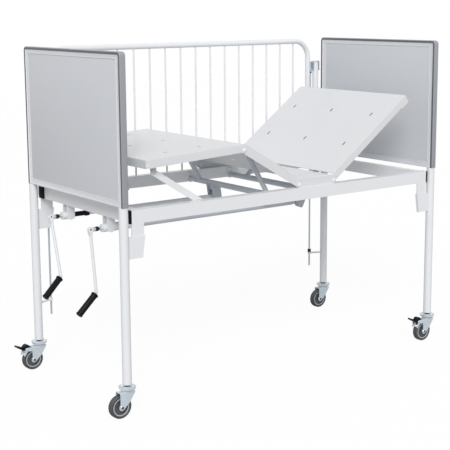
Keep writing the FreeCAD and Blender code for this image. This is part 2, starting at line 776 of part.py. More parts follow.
# ---------------------------------------------------------------- push tubes, brackets and cranks
def slotted_eye(pin, high_z, y, radius, side_play):
    """Upright slotted link in which a lever pin rises and falls."""
    y0, y1 = y - 3.0, y + 3.0
    body = link(pin.x, pin.z, radius, pin.x, high_z, radius, y0, y1)
    slot = pin_radius + 1 + side_play
    return body.cut(link(pin.x, pin.z, slot, pin.x, high_z, slot, y0 - 1, y1 + 1))


def knee_push_tube():
    """Push tube of the knee mechanism, with a white end ring next to the black sleeve."""
    y, z = knee_crank_y, crank_z
    x0 = screw_seat + 0.3
    x1 = knee_pin.x - 10.0
    body = rod(V(x0, y, z), V(x1, y, z), knee_tube_radius)
    body = body.fuse(rod(V(x0, y, z), V(x0 + 6, y, z), knee_tube_radius + 1.5))
    body = body.cut(rod(V(x0 - 1, y, z), V(x1 - tube_blind_end, y, z), screw_radius + 0.4))
    return fused([body, slotted_eye(knee_pin, knee_pin_flat.z, y, knee_eye, knee_eye_play)])


def back_push_tube():
    """Push tube of the back mechanism; its near end runs inside the guide tube."""
    y, z = back_crank_y, crank_z
    x0 = cheek_back + back_tube_inset
    x1 = back_pin.x - back_tube_setback
    body = rod(V(x0, y, z), V(x1, y, z), back_tube_radius)
    body = body.cut(rod(V(x0 - 1, y, z), V(x1 - tube_blind_end / 2, y, z), screw_radius + 0.4))
    neck = block(x1 - 10, back_pin.x - back_eye + 3, y - 3.0, y + 3.0, z - 12, z + 8)
    return fused([body, neck, slotted_eye(back_pin, back_pin_high, y, back_eye, back_eye_play)])


def crank_bracket(y, guide):
    """Two cheeks under the foot rail, a front bearing and a rear plate, welded together."""
    pieces = []
    for side in (-1, 1):
        c0, c1 = sorted((y + side * cheek_gap / 2, y + side * (cheek_gap / 2 + cheek_plate)))
        mid = (cheek_front + cheek_back) / 2
        body = block(cheek_front, cheek_back, c0, c1, crank_z, rail_bottom)
        pieces.append(body.fuse(disc(mid, crank_z, cheek_round, c0, c1)))
    pieces.append(block(cheek_back - cheek_plate, cheek_back, y - cheek_gap / 2, y + cheek_gap / 2,
                        crank_z - 15, rail_bottom))
    pieces.append(rod(V(bearing_front, y, crank_z), V(cheek_front + 8, y, crank_z), bearing_radius))
    if guide:
        pieces.append(rod(V(cheek_back, y, crank_z), V(cheek_back + guide_length, y, crank_z), guide_radius))
    body = fused(pieces)
    body = body.cut(rod(V(bearing_front - 1, y, crank_z), V(cheek_back + 1, y, crank_z),
                        shaft_end_radius + pin_play))
    if guide:
        body = body.cut(rod(V(cheek_back, y, crank_z), V(cheek_back + guide_length + 1, y, crank_z),
                            back_tube_radius + 0.3))
    return body


def black_sleeve():
    y, z = knee_crank_y, crank_z
    profile = [(0, sleeve_radius), (sleeve_length - 18, sleeve_radius), (sleeve_length - 15, sleeve_flare),
               (sleeve_length, sleeve_flare), (sleeve_length, shaft_end_radius + 0.3),
               (0, shaft_end_radius + 0.3)]
    return revolved(profile, V(cheek_back, y, z), V(1, 0, 0))


def crank_shaft(y, turn, tip_x):
    """Screw, bearing journal, steel collar and the flat tongue that the crank folds on."""
    centre = V(0, y, crank_z)
    profile = [(collar_front, 0), (collar_front, collar_radius - 1), (collar_front + 1, collar_radius),
               (collar_back, collar_radius), (collar_back, shaft_end_radius),
               (cheek_back, shaft_end_radius), (cheek_back, screw_radius), (tip_x, screw_radius),
               (tip_x, 0)]
    shaft = revolved(profile, centre, V(1, 0, 0))
    tongue = block(knuckle_x, collar_front + 1, y - knuckle_plate / 2, y + knuckle_plate / 2,
                   crank_z - 8, crank_z + 8)
    tongue = tongue.fuse(disc(knuckle_x, crank_z, 8.0, y - knuckle_plate / 2, y + knuckle_plate / 2))
    tongue = tongue.cut(disc(knuckle_x, crank_z, 3.0 + pin_play, y - 9, y + 9))
    return turned(fused([shaft, tongue]), centre, V(1, 0, 0), turn)


def crank_handle(y, turn):
    """Knuckle, round arm and bent core of the folding crank, modelled hanging straight down."""
    gap = knuckle_plate / 2 + 0.2
    pieces = [disc(knuckle_x, crank_z, 3.0, y - gap - 3.5, y + gap + 3.5)]
    for side in (-1, 1):
        c0, c1 = sorted((y + side * gap, y + side * (gap + 3.5)))
        pieces.append(link(knuckle_x, crank_z, knuckle_radius, knuckle_x, crank_z - 16, 7.0, c0, c1))
    pieces.append(disc(knuckle_x, crank_z - 17, 7.0, y - gap - 3.5, y + gap + 3.5))
    bend = V(knuckle_x, y, crank_z - crank_arm)
    pieces.append(rod(V(knuckle_x, y, crank_z - 18), bend, crank_arm_radius))
    pieces.append(Part.makeSphere(crank_arm_radius, bend))
    out = V(-math.cos(math.radians(grip_slope)), 0, -math.sin(math.radians(grip_slope)))
    pieces.append(rod(bend, bend + out * (grip_length - 4), grip_core))
    return turned(fused(pieces), V(0, y, crank_z), V(1, 0, 0), turn)


def crank_grip(y, turn):
    """Moulded grip that spins on the crank's core."""
    bend = V(knuckle_x, y, crank_z - crank_arm)
    out = V(-math.cos(math.radians(grip_slope)), 0, -math.sin(math.radians(grip_slope)))
    bore = grip_core + pin_play
    near = crank_arm_radius + 0.6
    far = grip_length + 4.0
    profile = [(near, bore), (near, grip_bead - 1), (near + 1, grip_bead), (near + 7, grip_bead),
               (near + 8, grip_radius), (far - 7, grip_radius), (far - 6, grip_bead - 0.8),
               (far - 2, grip_bead - 0.8), (far, grip_bead - 3), (far, 0), (grip_length - 3.5, 0),
               (grip_length - 3.5, bore)]
    return turned(revolved(profile, bend, out), V(0, y, crank_z), V(1, 0, 0), turn)


knee_screw_tip = screw_seat + knee_screw_length
back_screw_tip = cheek_back + back_screw_length
nodes["crank_brackets"] = group([crank_bracket(knee_crank_y, False), crank_bracket(back_crank_y, True)])
nodes["knee_sleeve"] = black_sleeve()
nodes["knee_tube"] = knee_push_tube()
nodes["back_tube"] = back_push_tube()
nodes["knee_crank_shaft"] = crank_shaft(knee_crank_y, knee_crank_turn, knee_screw_tip)
nodes["back_crank_shaft"] = crank_shaft(back_crank_y, back_crank_turn, back_screw_tip)
nodes["knee_crank_arm"] = crank_handle(knee_crank_y, knee_crank_turn)
nodes["back_crank_arm"] = crank_handle(back_crank_y, back_crank_turn)
nodes["knee_crank_grip"] = crank_grip(knee_crank_y, knee_crank_turn)
nodes["back_crank_grip"] = crank_grip(back_crank_y, back_crank_turn)


# ---------------------------------------------------------------- drop gate
def lower_tube(radius):
    return rod(V(gate_left, gate_y, gate_foot), V(gate_right, gate_y, gate_foot), radius)


def gate_ring():
    """Bent tube with a lower tube welded between the stiles and four guide eyes."""
    top = gate_top - gate_tube
    path = [Part.makeLine(V(gate_left, gate_y, gate_foot - gate_tube),
                          V(gate_left, gate_y, top - gate_corner))]
    bend = gate_corner * (1 - math.cos(math.pi / 4))
    path.append(Part.Arc(V(gate_left, gate_y, top - gate_corner),
                         V(gate_left + bend, gate_y, top - bend),
                         V(gate_left + gate_corner, gate_y, top)).toShape())
    path.append(Part.makeLine(V(gate_left + gate_corner, gate_y, top),
                              V(gate_right - gate_corner, gate_y, top)))
    path.append(Part.Arc(V(gate_right - gate_corner, gate_y, top),
                         V(gate_right - bend, gate_y, top - bend),
                         V(gate_right, gate_y, top - gate_corner)).toShape())
    path.append(Part.makeLine(V(gate_right, gate_y, top - gate_corner),
                              V(gate_right, gate_y, gate_foot - gate_tube)))
    wire = Part.Wire(path)
    start = V(gate_left, gate_y, gate_foot - gate_tube)
    hoop, hollow = [wire.makePipeShell([Part.Wire(Part.makeCircle(radius, start, V(0, 0, 1)))], True, False)
                    for radius in (gate_tube, gate_tube - gate_wall)]
    lower = lower_tube(gate_tube - 1).cut(lower_tube(gate_tube - 1 - gate_wall))
    lower = lower.cut(rod(start, start + V(0, 0, 3 * gate_tube), gate_tube - gate_wall))
    lower = lower.cut(rod(V(gate_right, gate_y, start.z), V(gate_right, gate_y, start.z + 3 * gate_tube),
                          gate_tube - gate_wall))
    pieces = [hoop.cut(hollow), lower]
    for x_rod, towards in ((rod_left, 1), (rod_right, -1)):
        for z in (gate_foot, upper_eye):
            foot = V(x_rod, gate_y, z - eye_height / 2)
            pieces.append(rod(foot, foot + V(0, 0, eye_height), eye_radius))
            web = sorted((x_rod, x_rod + towards * rod_offset))
            pieces.append(block(web[0], web[1], gate_y - 3, gate_y + 3, foot.z, foot.z + eye_height))
    body = fused(pieces)
    for x_rod in (rod_left, rod_right):
        for z in (gate_foot, upper_eye):
            foot = V(x_rod, gate_y, z - eye_height)
            body = body.cut(rod(foot, foot + V(0, 0, 2 * eye_height), rod_radius + eye_play))
    return body


def gate_bar(index):
    x = gate_x + (index - (bar_count - 1) / 2) * bar_pitch
    top = gate_top - gate_tube
    bar = rod(V(x, gate_y, gate_foot + 1), V(x, gate_y, top - 1), bar_radius)
    upper_tube = rod(V(gate_left, gate_y, top), V(gate_right, gate_y, top), gate_tube)
    return bar.cut(lower_tube(gate_tube - 1)).cut(upper_tube)


def guide_rod(x):
    return rod(V(x, gate_y, rod_foot), V(x, gate_y, rod_top), rod_radius)


def rod_bracket(x_rod, x_leg):
    """Bar from the rear leg to the guide rod, with an eye round the rod."""
    z = rod_bracket_z
    away = V(x_rod - x_leg, gate_y - leg_y, 0).normalize()
    start = V(x_leg, leg_y, z) + away * (leg_radius - 0.5)
    end = V(x_rod, gate_y, z)
    body = rod(start, end, bracket_bar)
    eye = rod(end - V(0, 0, 5), end + V(0, 0, 5), eye_radius)
    body = body.fuse(eye)
    body = body.cut(rod(end - V(0, 0, 9), end + V(0, 0, 9), rod_radius + pin_play))
    return body.cut(rod(V(x_leg, leg_y, z - 20), V(x_leg, leg_y, z + 20), leg_radius))


def gate_post(x, x_pad):
    """Round post welded to the rear rail; the gate's strap hooks over it."""
    tube = rod(V(x, post_y, rail_bottom), V(x, post_y, post_top), post_radius)
    tube = tube.cut(rod(V(x, post_y, rail_bottom - 1), V(x, post_y, post_top - 3), post_radius - post_wall))
    pad = block(min(x_pad, x), max(x_pad, x), rail_outer, post_y, rail_bottom + 6, rail_top - 6)
    pad = pad.cut(rod(V(x, post_y, rail_bottom), V(x, post_y, rail_top), post_radius - post_wall))
    return tube.fuse(pad).removeSplitter()


def gate_strap(x_rod, x_post, away):
    """Bent band over the post, ending in a boss on top of the guide rod."""
    low = rod_top
    top = post_top + strap_air
    inner = x_post - away * (post_radius + 1.0)
    outer = x_post + away * (post_radius + 1.0)
    y0, y1 = post_y - strap_width / 2, post_y + strap_width / 2
    x0, x1 = sorted((inner, inner - away * strap_plate))
    pieces = [block(x0, x1, y0, y1, low + 8, top + strap_plate)]
    x0, x1 = sorted((inner, outer))
    pieces.append(block(x0, x1, y0, y1, top, top + strap_plate))
    x0, x1 = sorted((outer, outer + away * strap_plate))
    pieces.append(block(x0, x1, y0, y1, top - strap_drop, top + strap_plate))
    x2 = away * (leg_x - trim_half)
    x0, x1 = sorted((outer, x2))
    pieces.append(block(x0, x1, y0, trim_outer - 0.5, top - strap_drop, top - strap_drop + strap_plate))
    body = fused(pieces)
    bends = [e for e in body.Edges
             if abs(e.CenterOfMass.z - top - strap_plate) < 0.01 and e.Length < strap_width + 1
             and abs(e.tangentAt(e.FirstParameter).y) > 0.9]
    body = body.makeFillet(6.0, bends)
    boss = rod(V(x_rod, gate_y, low), V(x_rod, gate_y, top), 6.0)
    x0, x1 = sorted((x_rod, inner - away * strap_plate / 2))
    body = body.fuse(block(x0, x1, gate_y - 4, y1, low + 2, low + 16))
    return fused([body, boss])


def rubber_ring(x, z, radius, height):
    return rod(V(x, gate_y, z), V(x, gate_y, z + height), radius).cut(
        rod(V(x, gate_y, z - 1), V(x, gate_y, z + height + 1), rod_radius + pin_play))


post_right = rod_right + post_gap
post_left = rod_left - post_gap
nodes["gate_frame"] = gate_ring()
nodes["gate_bars"] = group([gate_bar(index) for index in range(bar_count)])
nodes["guide_rods"] = group([guide_rod(rod_left), guide_rod(rod_right)])
nodes["rod_brackets"] = group([rod_bracket(rod_left, -leg_x), rod_bracket(rod_right, leg_x)])
nodes["rod_collars"] = group([rubber_ring(rod_right, rod_bracket_z + 5, rubber_radius, rubber_height),
                              rubber_ring(rod_right, rod_top - 8, rod_radius + 1.8, 7.8),
                              rubber_ring(rod_left, rod_top - 8, rod_radius + 1.8, 7.8)])
nodes["gate_posts"] = group([gate_post(post_left, -rail_end), gate_post(post_right, rail_end)])
nodes["gate_straps"] = group([gate_strap(rod_left, post_left, -1), gate_strap(rod_right, post_right, 1)])


# ---------------------------------------------------------------- castors
def castor_stem(x, y):
    """Expander in the leg, hexagon, dished swivel plate and the kingpin with its riveted head."""
    low = fork_crown - fork_plate - 3.0
    rim_z = flange_z + flange_rise
    floor_z = flange_z + 2.0
    profile = [(low, 0), (low, kingpin_radius + 3.5), (low + 2.6, kingpin_radius + 3.5),
               (low + 2.6, kingpin_radius), (flange_z, kingpin_radius), (flange_z, flange_radius - 6),
               (flange_z + 2.5, flange_radius - 2.5), (rim_z, flange_radius), (rim_z, flange_radius - 1.8),
               (flange_z + 3.5, flange_radius - 4.5), (floor_z, flange_radius - 7),
               (floor_z, stem_radius), (leg_foot, stem_radius),
               (leg_foot, leg_radius - leg_wall - pin_play),
               (leg_foot + stem_length, leg_radius - leg_wall - pin_play), (leg_foot + stem_length, 0)]
    body = revolved(profile, V(x, y, 0), V(0, 0, 1))
    corners = [V(x + hexagon * math.cos(math.pi * k / 3), y + hexagon * math.sin(math.pi * k / 3), floor_z)
               for k in range(6)]
    nut = Part.Face(Part.makePolygon(corners + corners[:1])).extrude(V(0, 0, hexagon_height))
    return body.fuse(nut.cut(rod(V(x, y, flange_z), V(x, y, leg_foot), stem_radius)))


def tangent_point(cx, cz, radius, px, pz):
    """Where the line from a point behind a round boss touches its underside."""
    reach = math.hypot(px - cx, pz - cz)
    turn = math.atan2(pz - cz, px - cx) - math.acos(radius / reach)
    return cx + radius * math.cos(turn), cz + radius * math.sin(turn)


def fork_cheek(x, c0, c1, braked):
    """One tapered side of the fork: straight front edge, boss round the axle, cranked rear edge."""
    axle_x = x - castor_trail
    front = axle_x - fork_front
    knee = (x + fork_knee.x, fork_knee.z)
    outline = [(front, wheel_radius), (front, fork_crown), (x + fork_back, fork_crown),
               (x + fork_back, fork_crown - 4), knee, tangent_point(axle_x, wheel_radius, axle_boss, *knee),
               (axle_x, wheel_radius)]
    pieces = [plate(outline, c0, c1), disc(axle_x, wheel_radius, axle_boss, c0, c1)]
    if braked:
        px = x - pedal_pivot_back
        pieces.append(link(px, pedal_pivot_z, brake_arm, front + 6, fork_crown - 10, 10.0, c0, c1))
    return fused(pieces)


def brake_shoe(x, y):
    """Curved plate in front of the tread, hung from the brake arms, with its adjusting stud."""
    cx, cz = x - castor_trail, wheel_radius
    inner = wheel_radius + shoe_air
    outer = inner + shoe_plate
    first, last = math.radians(shoe_start), math.radians(shoe_end)
    middle = (first + last) / 2
    ring = disc(cx, cz, outer, y - fork_outer, y + fork_outer).cut(
        disc(cx, cz, inner, y - fork_outer - 1, y + fork_outer + 1))
    far = 2 * outer
    wedge = plate([(cx, cz), (cx + far * math.cos(first), cz + far * math.sin(first)),
                   (cx + far * math.cos(last), cz + far * math.sin(last))], y - fork_outer, y + fork_outer)
    pieces = [ring.common(wedge)]
    sx, sz = cx + (inner + 1) * math.cos(last), cz + (inner + 1) * math.sin(last)
    for side in (-1, 1):
        c0, c1 = sorted((y + side * fork_inner, y + side * fork_outer))
        pieces.append(link(x - pedal_pivot_back, pedal_pivot_z, brake_arm - 1, sx, sz, 3.0, c0, c1))
    way = V(math.cos(middle), 0, math.sin(middle))
    foot = V(cx, y, cz) + way * (inner + 0.5)
    pieces.append(rod(foot, foot + way * 8.0, shoe_stud))
    return fused(pieces)


def castor_fork(x, y, braked):
    """Pressed fork: crown and race, two cheeks, riveted axle and, where braked, arms and shoe."""
    axle_x = x - castor_trail
    pieces = [block(axle_x - fork_front, x + fork_back, y - fork_outer, y + fork_outer,
                    fork_crown - fork_plate, fork_crown)]
    for side in (-1, 1):
        c0, c1 = sorted((y + side * fork_inner, y + side * fork_outer))
        pieces.append(fork_cheek(x, c0, c1, braked))
    body = fused(pieces)
    folds = [e for e in body.Edges
             if abs(abs(e.CenterOfMass.y - y) - fork_outer) < 0.01
             and abs(e.CenterOfMass.z - fork_crown) < 0.01 and e.Length > castor_trail]
    body = body.makeFillet(fork_plate - 0.1, folds)
    pieces = [body, rod(V(x, y, fork_crown), V(x, y, fork_crown + race_height), race_radius),
              rod(V(x, y, fork_crown + race_height), V(x, y, flange_z - 0.4), race_radius - 5),
              disc(axle_x, wheel_radius, axle_radius, y - fork_outer, y + fork_outer)]
    for side in (-1, 1):
        h0, h1 = sorted((y + side * fork_outer, y + side * (fork_outer + axle_head_height)))
        pieces.append(disc(axle_x, wheel_radius, axle_head, h0, h1))
    if braked:
        pieces.append(disc(x - pedal_pivot_back, pedal_pivot_z, pedal_pin, y - fork_outer, y + fork_outer))
        pieces.append(brake_shoe(x, y))
    body = fused(pieces)
    return body.cut(rod(V(x, y, fork_crown - 9), V(x, y, flange_z + 1), kingpin_radius + pin_play))


def castor_rim(x, y):
    """Wheel centre: hub that runs between the cheeks, dished web and outer ring."""
    bore = axle_radius + pin_play
    half = rim_width / 2
    hub = fork_inner - 0.5
    ring = rim_radius - rim_wall
    web = half - 5.0
    profile = [(-hub, bore), (-hub, hub_radius), (-web, hub_radius + 2), (-web, ring - 2), (-half, ring),
               (-half, rim_radius), (half, rim_radius), (half, ring), (web, ring - 2), (web, hub_radius + 2),
               (hub, hub_radius), (hub, bore)]
    return revolved(profile, V(x - castor_trail, y, wheel_radius), V(0, 1, 0))


def castor_tyre(x, y):
    """Grey tread with rounded shoulders and two grooves round it."""
    half = wheel_width / 2
    groove = wheel_width / 7
    seat = rim_radius + pin_play
    profile = [(-half + 2, seat), (-half, seat + 2), (-half, wheel_radius), (-groove - 1, wheel_radius),
               (-groove, wheel_radius - 1.5), (-groove + 1, wheel_radius), (groove - 1, wheel_radius),
               (groove, wheel_radius - 1.5), (groove + 1, wheel_radius), (half, wheel_radius),
               (half, seat + 2), (half - 2, seat)]
    body = revolved(profile, V(x - castor_trail, y, wheel_radius), V(0, 1, 0))
    shoulders = [e for e in body.Edges if e.Curve.TypeId == "Part::GeomCircle"
                 and abs(e.Curve.Radius - wheel_radius) < 0.01
                 and abs(abs(e.Curve.Center.y - y) - half) < 0.01]
    return body.makeFillet(tread_round, shoulders)


def brake_pedal(x, y):
    """Foot lever with a round cap over its pivot and a cam above the tread."""
    px, pz = x - pedal_pivot_back, pedal_pivot_z
    half = fork_inner - pedal_play
    cap = disc(px + 2, pz + 6, 14.0, y - half + 2, y + half - 2)
    rims = [e for e in cap.Edges if e.Curve.TypeId == "Part::GeomCircle"]
    cap = cap.makeFillet(3.0, rims)
    hub = disc(px, pz, 6.0, y - half, y + half)
    lever = link(px - 2, pz - 2, 6.0, px - 41, pz + 17, 3.5, y - half + 1, y + half - 1)
    fall_x, fall_z = pedal_pivot_back - castor_trail, pedal_pivot_z - wheel_radius
    reach = math.hypot(fall_x, fall_z) - wheel_radius - brake_air
    cam_turn = math.atan2(-fall_z, fall_x) - math.radians(pedal_swing)
    cam = link(px, pz, 6.0, px + (reach - 3) * math.cos(cam_turn), pz + (reach - 3) * math.sin(cam_turn),
               3.0, y - half + 2, y + half - 2)
    bore = disc(px, pz, pedal_pin + pin_play, y - half - 1, y + half + 1)
    return fused([hub, cap, lever, cam]).cut(bore)


castor_places = {"foot_front": (-leg_x, -leg_y), "foot_rear": (-leg_x, leg_y),
                 "head_front": (leg_x, -leg_y), "head_rear": (leg_x, leg_y)}
braked_castors = ("foot_rear", "head_front")
nodes["castor_stems"] = group([castor_stem(x, y) for x, y in castor_places.values()])
for name, (x, y) in castor_places.items():
    nodes["castor_fork_" + name] = castor_fork(x, y, name in braked_castors)
    nodes["castor_rim_" + name] = castor_rim(x, y)
    nodes["castor_tyre_" + name] = castor_tyre(x, y)
for name in braked_castors:
    x, y = castor_places[name]
    nodes["brake_pedal_" + name] = brake_pedal(x, y)


# ---------------------------------------------------------------- export
os.makedirs("parts", exist_ok=True)
for name, shape in nodes.items():
    placed = shape.copy()
    placed.translate(shift)
    placed.exportStep(os.path.join("parts", name + ".step"))
print("platform %.1f mm above the floor; push tubes travel %.1f and %.1f mm"
      % (platform_top, knee_travel, back_travel))
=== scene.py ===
import math

import bmesh
import bpy
from mathutils import Matrix, Vector


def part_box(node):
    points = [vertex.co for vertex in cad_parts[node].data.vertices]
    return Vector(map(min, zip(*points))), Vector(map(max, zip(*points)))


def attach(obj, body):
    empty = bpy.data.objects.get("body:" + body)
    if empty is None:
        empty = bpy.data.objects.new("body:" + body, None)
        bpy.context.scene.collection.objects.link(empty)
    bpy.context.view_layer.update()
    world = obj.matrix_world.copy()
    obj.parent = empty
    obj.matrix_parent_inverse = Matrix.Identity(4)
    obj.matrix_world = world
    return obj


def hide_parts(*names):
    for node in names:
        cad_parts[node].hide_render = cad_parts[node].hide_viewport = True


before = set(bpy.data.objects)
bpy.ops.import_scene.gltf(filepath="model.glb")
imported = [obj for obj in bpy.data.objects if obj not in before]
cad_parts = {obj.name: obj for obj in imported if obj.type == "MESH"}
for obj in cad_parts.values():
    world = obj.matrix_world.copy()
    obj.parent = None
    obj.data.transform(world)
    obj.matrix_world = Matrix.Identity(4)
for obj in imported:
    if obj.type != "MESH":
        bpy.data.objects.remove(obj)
bpy.ops.object.select_all(action="DESELECT")
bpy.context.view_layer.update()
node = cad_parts


# ---------------------------------------------------------------- view
# A short telephoto lens a little above the end boards, looking along the cot from
# its foot end.  The lens is shifted down so that the uprights stay nearly parallel.
view_from = Vector((-2.7910, -3.7528, 1.5154))
view_turn = (Matrix.Rotation(math.radians(-36.3431), 4, "Z") @ Matrix.Rotation(math.radians(80.101), 4, "X")
             @ Matrix.Rotation(math.radians(-0.3941), 4, "Z"))
lens = bpy.data.cameras.new("view")
lens.lens = 88.37
lens.sensor_width = 36.0
lens.shift_x = -0.0007
lens.shift_y = -0.0611
lens.clip_end = 60.0
camera = bpy.data.objects.new("view", lens)
camera.matrix_world = Matrix.Translation(view_from) @ view_turn
bpy.context.scene.collection.objects.link(camera)
bpy.context.scene.camera = camera


# ---------------------------------------------------------------- studio
# White room light from all round, one broad soft key from the front and above,
# and a plain pale floor that keeps the shadows under the castors.
bpy.context.scene.view_settings.view_transform = "Standard"
room = bpy.data.worlds.new("room")
room.use_nodes = True
bpy.context.scene.world = room
tree = room.node_tree
tree.nodes.clear()
room_light = tree.nodes.new("ShaderNodeBackground")
room_light.inputs["Color"].default_value = (0.97, 0.98, 1.0, 1.0)
room_light.inputs["Strength"].default_value = 0.50
room_seen = tree.nodes.new("ShaderNodeBackground")
room_seen.inputs["Color"].default_value = (1.0, 1.0, 1.0, 1.0)
room_seen.inputs["Strength"].default_value = 1.0
rays = tree.nodes.new("ShaderNodeLightPath")
seen = tree.nodes.new("ShaderNodeMath")
seen.operation = "MAXIMUM"
seen_glossy = tree.nodes.new("ShaderNodeMath")
seen_glossy.operation = "MAXIMUM"
mix = tree.nodes.new("ShaderNodeMixShader")
out = tree.nodes.new("ShaderNodeOutputWorld")
tree.links.new(rays.outputs["Is Camera Ray"], seen.inputs[0])
tree.links.new(rays.outputs["Is Glossy Ray"], seen_glossy.inputs[0])
tree.links.new(rays.outputs["Is Transmission Ray"], seen_glossy.inputs[1])
tree.links.new(seen_glossy.outputs[0], seen.inputs[1])
tree.links.new(seen.outputs[0], mix.inputs["Fac"])
tree.links.new(room_light.outputs[0], mix.inputs[1])
tree.links.new(room_seen.outputs[0], mix.inputs[2])
tree.links.new(mix.outputs[0], out.inputs["Surface"])

key = bpy.data.lights.new("key", "SUN")
key.energy = 1.95
key.angle = math.radians(28)
key.color = (1.0, 0.995, 0.985)
key_object = bpy.data.objects.new("key", key)
key_object.rotation_euler = Vector((-0.45, -0.64, 0.62)).to_track_quat("Z", "Y").to_euler()
bpy.context.scene.collection.objects.link(key_object)

bpy.ops.mesh.primitive_plane_add(size=30.0, location=(0, 0, 0))
floor = bpy.context.object
floor.name = "floor"
floor_finish = bpy.data.materials.new("studio_floor")
floor_finish.use_nodes = True
tree = floor_finish.node_tree
tree.nodes.clear()
floor_plain = tree.nodes.new("ShaderNodeBsdfDiffuse")
floor_plain.inputs["Color"].default_value = (0.62, 0.62, 0.62, 1.0)
floor_white = tree.nodes.new("ShaderNodeEmission")
floor_white.inputs["Strength"].default_value = 1.045
floor_both = tree.nodes.new("ShaderNodeMixShader")
floor_rays = tree.nodes.new("ShaderNodeLightPath")
floor_share = tree.nodes.new("ShaderNodeMath")
floor_share.operation = "MULTIPLY"
floor_share.inputs[1].default_value = 0.9
floor_out = tree.nodes.new("ShaderNodeOutputMaterial")
tree.links.new(floor_rays.outputs["Is Camera Ray"], floor_share.inputs[0])
tree.links.new(floor_share.outputs[0], floor_both.inputs["Fac"])
tree.links.new(floor_plain.outputs[0], floor_both.inputs[1])
tree.links.new(floor_white.outputs[0], floor_both.inputs[2])
tree.links.new(floor_both.outputs[0], floor_out.inputs["Surface"])
floor.data.materials.append(floor_finish)
bpy.ops.object.select_all(action="DESELECT")


# ---------------------------------------------------------------- legs
# Round steel tubes, stove-enamelled white.  The enamel is a little uneven in gloss,
# with the fine orange-peel skin that powder leaves when it is baked.
def unevenness_group():
    group = bpy.data.node_groups.new("unevenness", "ShaderNodeTree")
    face = group.interface
    for label, kind, value in (("Color", "NodeSocketColor", (0.8, 0.8, 0.8, 1.0)),
                               ("Shade", "NodeSocketFloat", 0.04), ("Patch", "NodeSocketFloat", 6.0),
                               ("Gloss", "NodeSocketFloat", 0.35), ("Gloss Spread", "NodeSocketFloat", 0.08),
                               ("Grain", "NodeSocketFloat", 900.0)):
        face.new_socket(name=label, in_out="INPUT", socket_type=kind).default_value = value
    for label, kind in (("Color", "NodeSocketColor"), ("Roughness", "NodeSocketFloat"),
                        ("Height", "NodeSocketFloat")):
        face.new_socket(name=label, in_out="OUTPUT", socket_type=kind)
    nodes, links = group.nodes, group.links
    given = nodes.new("NodeGroupInput")
    result = nodes.new("NodeGroupOutput")
    place = nodes.new("ShaderNodeTexCoord")
    patches = nodes.new("ShaderNodeTexNoise")
    patches.inputs["Detail"].default_value = 3.0
    grain = nodes.new("ShaderNodeTexNoise")
    grain.inputs["Detail"].default_value = 2.0
    links.new(place.outputs["Object"], patches.inputs["Vector"])
    links.new(place.outputs["Object"], grain.inputs["Vector"])
    links.new(given.outputs["Patch"], patches.inputs["Scale"])
    links.new(given.outputs["Grain"], grain.inputs["Scale"])
    centred = nodes.new("ShaderNodeMath")
    centred.operation = "SUBTRACT"
    centred.inputs[1].default_value = 0.5
    links.new(patches.outputs["Fac"], centred.inputs[0])
    shade = nodes.new("ShaderNodeMath")
    shade.operation = "MULTIPLY_ADD"
    shade.inputs[2].default_value = 1.0
    links.new(centred.outputs[0], shade.inputs[0])
    links.new(given.outputs["Shade"], shade.inputs[1])
    tone = nodes.new("ShaderNodeVectorMath")
    tone.operation = "SCALE"
    links.new(given.outputs["Color"], tone.inputs[0])
    links.new(shade.outputs[0], tone.inputs["Scale"])
    gloss = nodes.new("ShaderNodeMath")
    gloss.operation = "MULTIPLY_ADD"
    links.new(centred.outputs[0], gloss.inputs[0])
    links.new(given.outputs["Gloss Spread"], gloss.inputs[1])
    links.new(given.outputs["Gloss"], gloss.inputs[2])
    links.new(tone.outputs["Vector"], result.inputs["Color"])
    links.new(gloss.outputs[0], result.inputs["Roughness"])
    links.new(grain.outputs["Fac"], result.inputs["Height"])
    return group


unevenness = unevenness_group()


def finish(name, color, shade, patch, gloss, spread, grain, bump, metallic=0.0, coat=0.0):
    """Material whose colour, gloss and skin vary through the shared unevenness group."""
    material = bpy.data.materials.new(name)
    material.use_nodes = True
    tree = material.node_tree
    shader = tree.nodes["Principled BSDF"]
    uneven = tree.nodes.new("ShaderNodeGroup")
    uneven.node_tree = unevenness
    uneven.inputs["Color"].default_value = (*color, 1.0)
    for label, value in (("Shade", shade), ("Patch", patch), ("Gloss", gloss), ("Gloss Spread", spread),
                         ("Grain", grain)):
        uneven.inputs[label].default_value = value
    skin = tree.nodes.new("ShaderNodeBump")
    skin.inputs["Strength"].default_value = bump
    skin.inputs["Distance"].default_value = 0.0004
    tree.links.new(uneven.outputs["Color"], shader.inputs["Base Color"])
    tree.links.new(uneven.outputs["Roughness"], shader.inputs["Roughness"])
    tree.links.new(uneven.outputs["Height"], skin.inputs["Height"])
    tree.links.new(skin.outputs["Normal"], shader.inputs["Normal"])
    shader.inputs["Metallic"].default_value = metallic
    shader.inputs["Coat Weight"].default_value = coat
    shader.inputs["Coat Roughness"].default_value = 0.12
    return material


def painted(material, color, mask):
    """Lays a second colour over a finish where mask(tree, place) is 1; place is the Object coordinate."""
    tree = material.node_tree
    shader = tree.nodes["Principled BSDF"]
    under = shader.inputs["Base Color"].links[0].from_socket
    place = tree.nodes.new("ShaderNodeTexCoord")
    over = tree.nodes.new("ShaderNodeMix")
    over.data_type = "RGBA"
    over.inputs["B"].default_value = (*color, 1.0)
    tree.links.new(mask(tree, place.outputs["Object"]), over.inputs["Factor"])
    tree.links.new(under, over.inputs["A"])
    tree.links.new(over.outputs["Result"], shader.inputs["Base Color"])
    return material


def reckon(tree, operation, *values):
    """One Math node; its values are numbers or sockets."""
    step = tree.nodes.new("ShaderNodeMath")
    step.operation = operation
    for socket, value in zip(step.inputs, values):
        if isinstance(value, (int, float)):
            socket.default_value = value
        else:
            tree.links.new(value, socket)
    return step.outputs[0]


